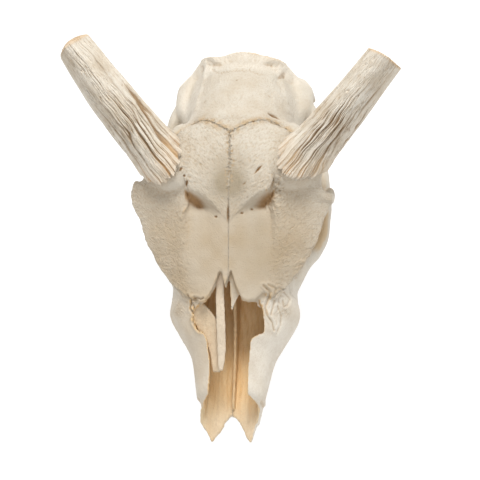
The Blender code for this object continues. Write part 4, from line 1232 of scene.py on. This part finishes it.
class Nodes:
    """A material's nodes, made one after another."""

    def __init__(self, name):
        self.material = bpy.data.materials.new(name)
        self.material.use_nodes = True
        self.tree = self.material.node_tree
        self.shader = self.tree.nodes["Principled BSDF"]

    def make(self, kind, settings=None, **inputs):
        node = self.tree.nodes.new("ShaderNode" + kind)
        for key, value in (settings or {}).items():
            setattr(node, key, value)
        for key, value in inputs.items():
            self.feed(node, int(key[1:]) if key[0] == "i" and key[1:].isdigit() else key, value)
        return node

    def feed(self, node, key, value):
        socket = node.inputs[key]
        if hasattr(value, "is_output"):
            self.tree.links.new(value, socket)
        else:
            socket.default_value = value

    def value(self, name):
        return self.make("Attribute", {"attribute_name": name}).outputs["Fac"]

    def place(self):
        return self.make("TexCoord").outputs["Object"]

    def noise(self, size, detail=3, vector=None, roughness=0.55):
        """Noise whose patches are about this many millimetres across, from 0 to 1."""
        node = self.make("TexNoise", Vector=vector or self.place(), Scale=1 / (size * MM), Detail=detail,
                         Roughness=roughness)
        return node.outputs["Fac"]

    def pits(self, size, vector=None):
        """Distance from the nearest of many scattered points, in their own spacing."""
        node = self.make("TexVoronoi", {"feature": "F1"}, Vector=vector or self.place(),
                         Scale=1 / (size * MM))
        return node.outputs["Distance"]

    def math(self, operation, a, b=0.0, c=0.0):
        return self.make("Math", {"operation": operation}, i0=a, i1=b, i2=c).outputs[0]

    def ramp(self, value, low, high, to_low=0.0, to_high=1.0):
        node = self.make("MapRange", {"interpolation_type": "SMOOTHSTEP"}, i0=value, i1=low, i2=high,
                         i3=to_low, i4=to_high)
        return node.outputs[0]

    def mix(self, share, a, b):
        node = self.make("Mix", {"data_type": "RGBA"}, i0=share, i6=a, i7=b)
        return node.outputs[2]

    def bump(self, height, depth, strength=1.0, normal=None):
        """Relief of this many millimetres where the height goes from 0 to 1."""
        node = self.make("Bump", Height=height, Distance=depth * MM, Strength=strength)
        if normal is not None:
            self.tree.links.new(normal, node.inputs["Normal"])
        return node.outputs["Normal"]


def bone_material(name, pale, warm):
    """Bleached bone: pale, warmer in patches, porous where it is spongy, and brown in its hollows, darker in
    the deepest, as painted shade.
    """
    n = Nodes(name)
    patches = n.ramp(n.noise(24, 4), 0.35, 0.75)
    specks = n.ramp(n.noise(2.2, 3), 0.45, 0.75)
    colour = n.mix(n.math("MULTIPLY", patches, 0.4), n.mix(n.value("white"), pale, WHITE), warm)
    colour = n.mix(n.math("MULTIPLY", specks, 0.16), colour, warm)
    colour = n.mix(n.value("warmth"), colour, warm)
    colour = n.mix(n.value("grey"), colour, SHADE)
    colour = n.mix(n.value("edge"), colour, EDGE)
    colour = n.mix(n.value("inside"), colour, inside_colour(n))
    pores = n.math("MULTIPLY", n.ramp(n.pits(1.5), 0.42, 0.12), n.ramp(n.noise(5, 2), 0.35, 0.6))
    open_pores = n.math("MULTIPLY", pores, n.math("ADD", n.math("MULTIPLY", n.value("spongy"), 0.9), 0.1))
    colour = n.mix(n.math("MULTIPLY", open_pores, 0.45), colour, TAN)
    flow = n.noise(1.0, 3, n.make("Attribute", {"attribute_name": "flow"}).outputs["Vector"])
    valleys = n.math("MULTIPLY", n.ramp(flow, 0.52, 0.36), n.value("rough"))
    colour = n.mix(n.math("MULTIPLY", valleys, 0.5), colour, TAN)
    # Painted shade: tan in the hollows, over the sutures' own stain, and dark in the deepest hollows and
    # holes.
    colour = n.mix(n.value("stain_and_shade"), colour, TAN)
    colour = n.mix(n.value("ember"), colour, EMBER)
    colour = n.mix(n.value("painted_shade"), colour, DARK)
    n.feed(n.shader, "Base Color", colour)
    height = n.math("SUBTRACT", n.math("MULTIPLY", n.noise(0.9, 3), 0.5),
                    n.math("MULTIPLY", open_pores, 0.5))
    relief = n.bump(n.math("ADD", height, n.math("MULTIPLY", flow,
                                                 n.math("MULTIPLY", n.value("rough"), 1.6))), 1.1, 0.95)
    n.feed(n.shader, "Normal", relief)
    n.shader.inputs["Roughness"].default_value = 0.62
    n.shader.inputs["Specular IOR Level"].default_value = 0.3
    return n.material


def inside_colour(n):
    """The nose's lining: tan with darker streaks that run from front to back."""
    stretched = n.make("Mapping", Vector=n.place(), Scale=(1.0, 0.12, 1.0)).outputs[0]
    streaks = n.ramp(n.noise(2.6, 3, stretched), 0.35, 0.7)
    return n.mix(streaks, LINING, LINING_DARK)


def core_material():
    """Horn core: pale ridges, grooves darkened brown by painted shade, and amber at the sawn rim."""
    n = Nodes("horn_core_bone")
    colour = n.mix(n.math("MULTIPLY", n.ramp(n.noise(18, 4), 0.35, 0.75), 0.55), CORE_PALE, WARM)
    # Painted shade in the grooves.
    colour = n.mix(n.math("MULTIPLY", n.value("groove_shade"), 0.9), colour, GROOVE)
    colour = n.mix(n.math("MULTIPLY", n.value("rim"), 0.6), colour, AMBER)
    cells = n.ramp(n.pits(1.6), 0.5, 0.15)
    colour = n.mix(n.math("MULTIPLY", n.math("MULTIPLY", n.value("cap"), cells), 0.6), colour, GROOVE)
    threads = n.noise(0.9, 3, n.make("Attribute", {"attribute_name": "shaft"}).outputs["Vector"])
    colour = n.mix(n.math("MULTIPLY", n.ramp(threads, 0.48, 0.32), 0.55), colour, TAN)
    n.feed(n.shader, "Base Color", colour)
    n.feed(n.shader, "Normal", n.bump(n.math("ADD", threads, n.math("MULTIPLY", n.noise(0.8, 3), 0.4)),
                                      0.6, 0.9))
    n.shader.inputs["Roughness"].default_value = 0.66
    n.shader.inputs["Specular IOR Level"].default_value = 0.3
    return n.material


def tooth_material():
    n = Nodes("teeth")
    colour = n.mix(n.ramp(n.noise(6, 4), 0.35, 0.7), ENAMEL, WARM)
    n.feed(n.shader, "Base Color", colour)
    n.feed(n.shader, "Normal", n.bump(n.noise(1.0, 3), 0.15, 0.7))
    n.shader.inputs["Roughness"].default_value = 0.3
    return n.material


def dress(piece, material, slot, *nodes):
    """Moves a piece to the model's frame, dresses it, hangs it under the root and hides the imported nodes
    that it stands for.
    """
    piece.data.transform(Matrix.Translation(Vector(ORIGIN) * -MM))
    piece.data.materials.clear()
    piece.data.materials.append(material)
    for face in piece.data.polygons:
        face.use_smooth = True
    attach(piece, "root")
    if nodes:
        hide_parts(*nodes)


def floor():
    mesh = bpy.data.meshes.new("floor")
    reach = FLOOR_REACH
    mesh.from_pydata([(-reach, -reach, 0), (reach, -reach, 0), (reach, reach, 0), (-reach, reach, 0)], [],
                     [(0, 1, 2, 3)])
    plane = new_object("floor", mesh)
    n = Nodes("floor")
    n.feed(n.shader, "Base Color", FLOOR_COLOUR)
    n.shader.inputs["Roughness"].default_value = 0.9
    n.shader.inputs["Specular IOR Level"].default_value = 0.1
    n.shader.inputs["Emission Color"].default_value = (1, 1, 1, 1)
    n.shader.inputs["Emission Strength"].default_value = FLOOR_GLOW
    mesh.materials.append(n.material)


def area_light(name, place, aim, size, power, colour):
    lamp = bpy.data.lights.new(name, "AREA")
    lamp.shape = "DISK"
    lamp.size = size
    lamp.energy = power
    lamp.color = colour
    obj = bpy.data.objects.new(name, lamp)
    bpy.context.scene.collection.objects.link(obj)
    obj.location = place
    obj.rotation_euler = (Vector(place) - Vector(aim)).to_track_quat("Z", "Y").to_euler()


def lights():
    world = bpy.data.worlds.new("studio")
    bpy.context.scene.world = world
    world.use_nodes = True
    world.node_tree.nodes["Background"].inputs[0].default_value = SKY_COLOUR
    world.node_tree.nodes["Background"].inputs[1].default_value = SKY_STRENGTH
    for name, place, size, power, colour in LAMPS:
        area_light(name, place, (0, 0, 0.06), size, power, colour)


def camera():
    """The photo's view: from in front of the skull and high above it, a little to the animal's left."""
    rise, lean = math.radians(VIEW_HEIGHT), math.radians(VIEW_LEAN)
    straight = Vector((0, -math.cos(rise), math.sin(rise)))
    side = Vector((1, 0, 0))
    away = straight * math.cos(lean) + side * math.sin(lean)
    right = side * math.cos(lean) - straight * math.sin(lean)
    up = away.cross(right)
    middle = Vector(BROW_MIDDLE)
    target = middle + right * (BROW_PIXELS[0] * VIEW_PIXEL) + up * (BROW_PIXELS[1] - up.dot(middle))
    lens = bpy.data.cameras.new("camera")
    lens.angle = 2 * math.atan(VIEW_HALF * VIEW_PIXEL / VIEW_DISTANCE)
    lens.clip_start = 0.05
    lens.clip_end = 20
    obj = bpy.data.objects.new("camera", lens)
    bpy.context.scene.collection.objects.link(obj)
    place = (target + away * VIEW_DISTANCE - Vector(ORIGIN)) * MM
    obj.matrix_world = Matrix.Translation(place) @ Matrix((right, up, away)).transposed().to_4x4()
    bpy.context.scene.camera = obj


def main():
    skin = sculpt(skull_skin())
    bone = bone_material("bone", PALE, WARM)
    inner = bone_material("inner_bone", STRIP_PALE, WARM)
    core = core_material()
    enamel = tooth_material()
    for name, piece in cut_bones(skin).items():
        dress(piece, bone, "bone", name)
    for name in SIDES:
        dress(horn_surface(name), core, "horn_core_bone", "horn_core_" + name)
    for name, piece in inner_pieces().items():
        dress(piece, inner, "inner_bone", name)
    for name, side in SIDES.items():
        dress(tooth_piece(name, side), enamel, "bone")
    floor()
    lights()
    camera()
    bpy.context.scene.view_settings.view_transform = "Standard"


main()
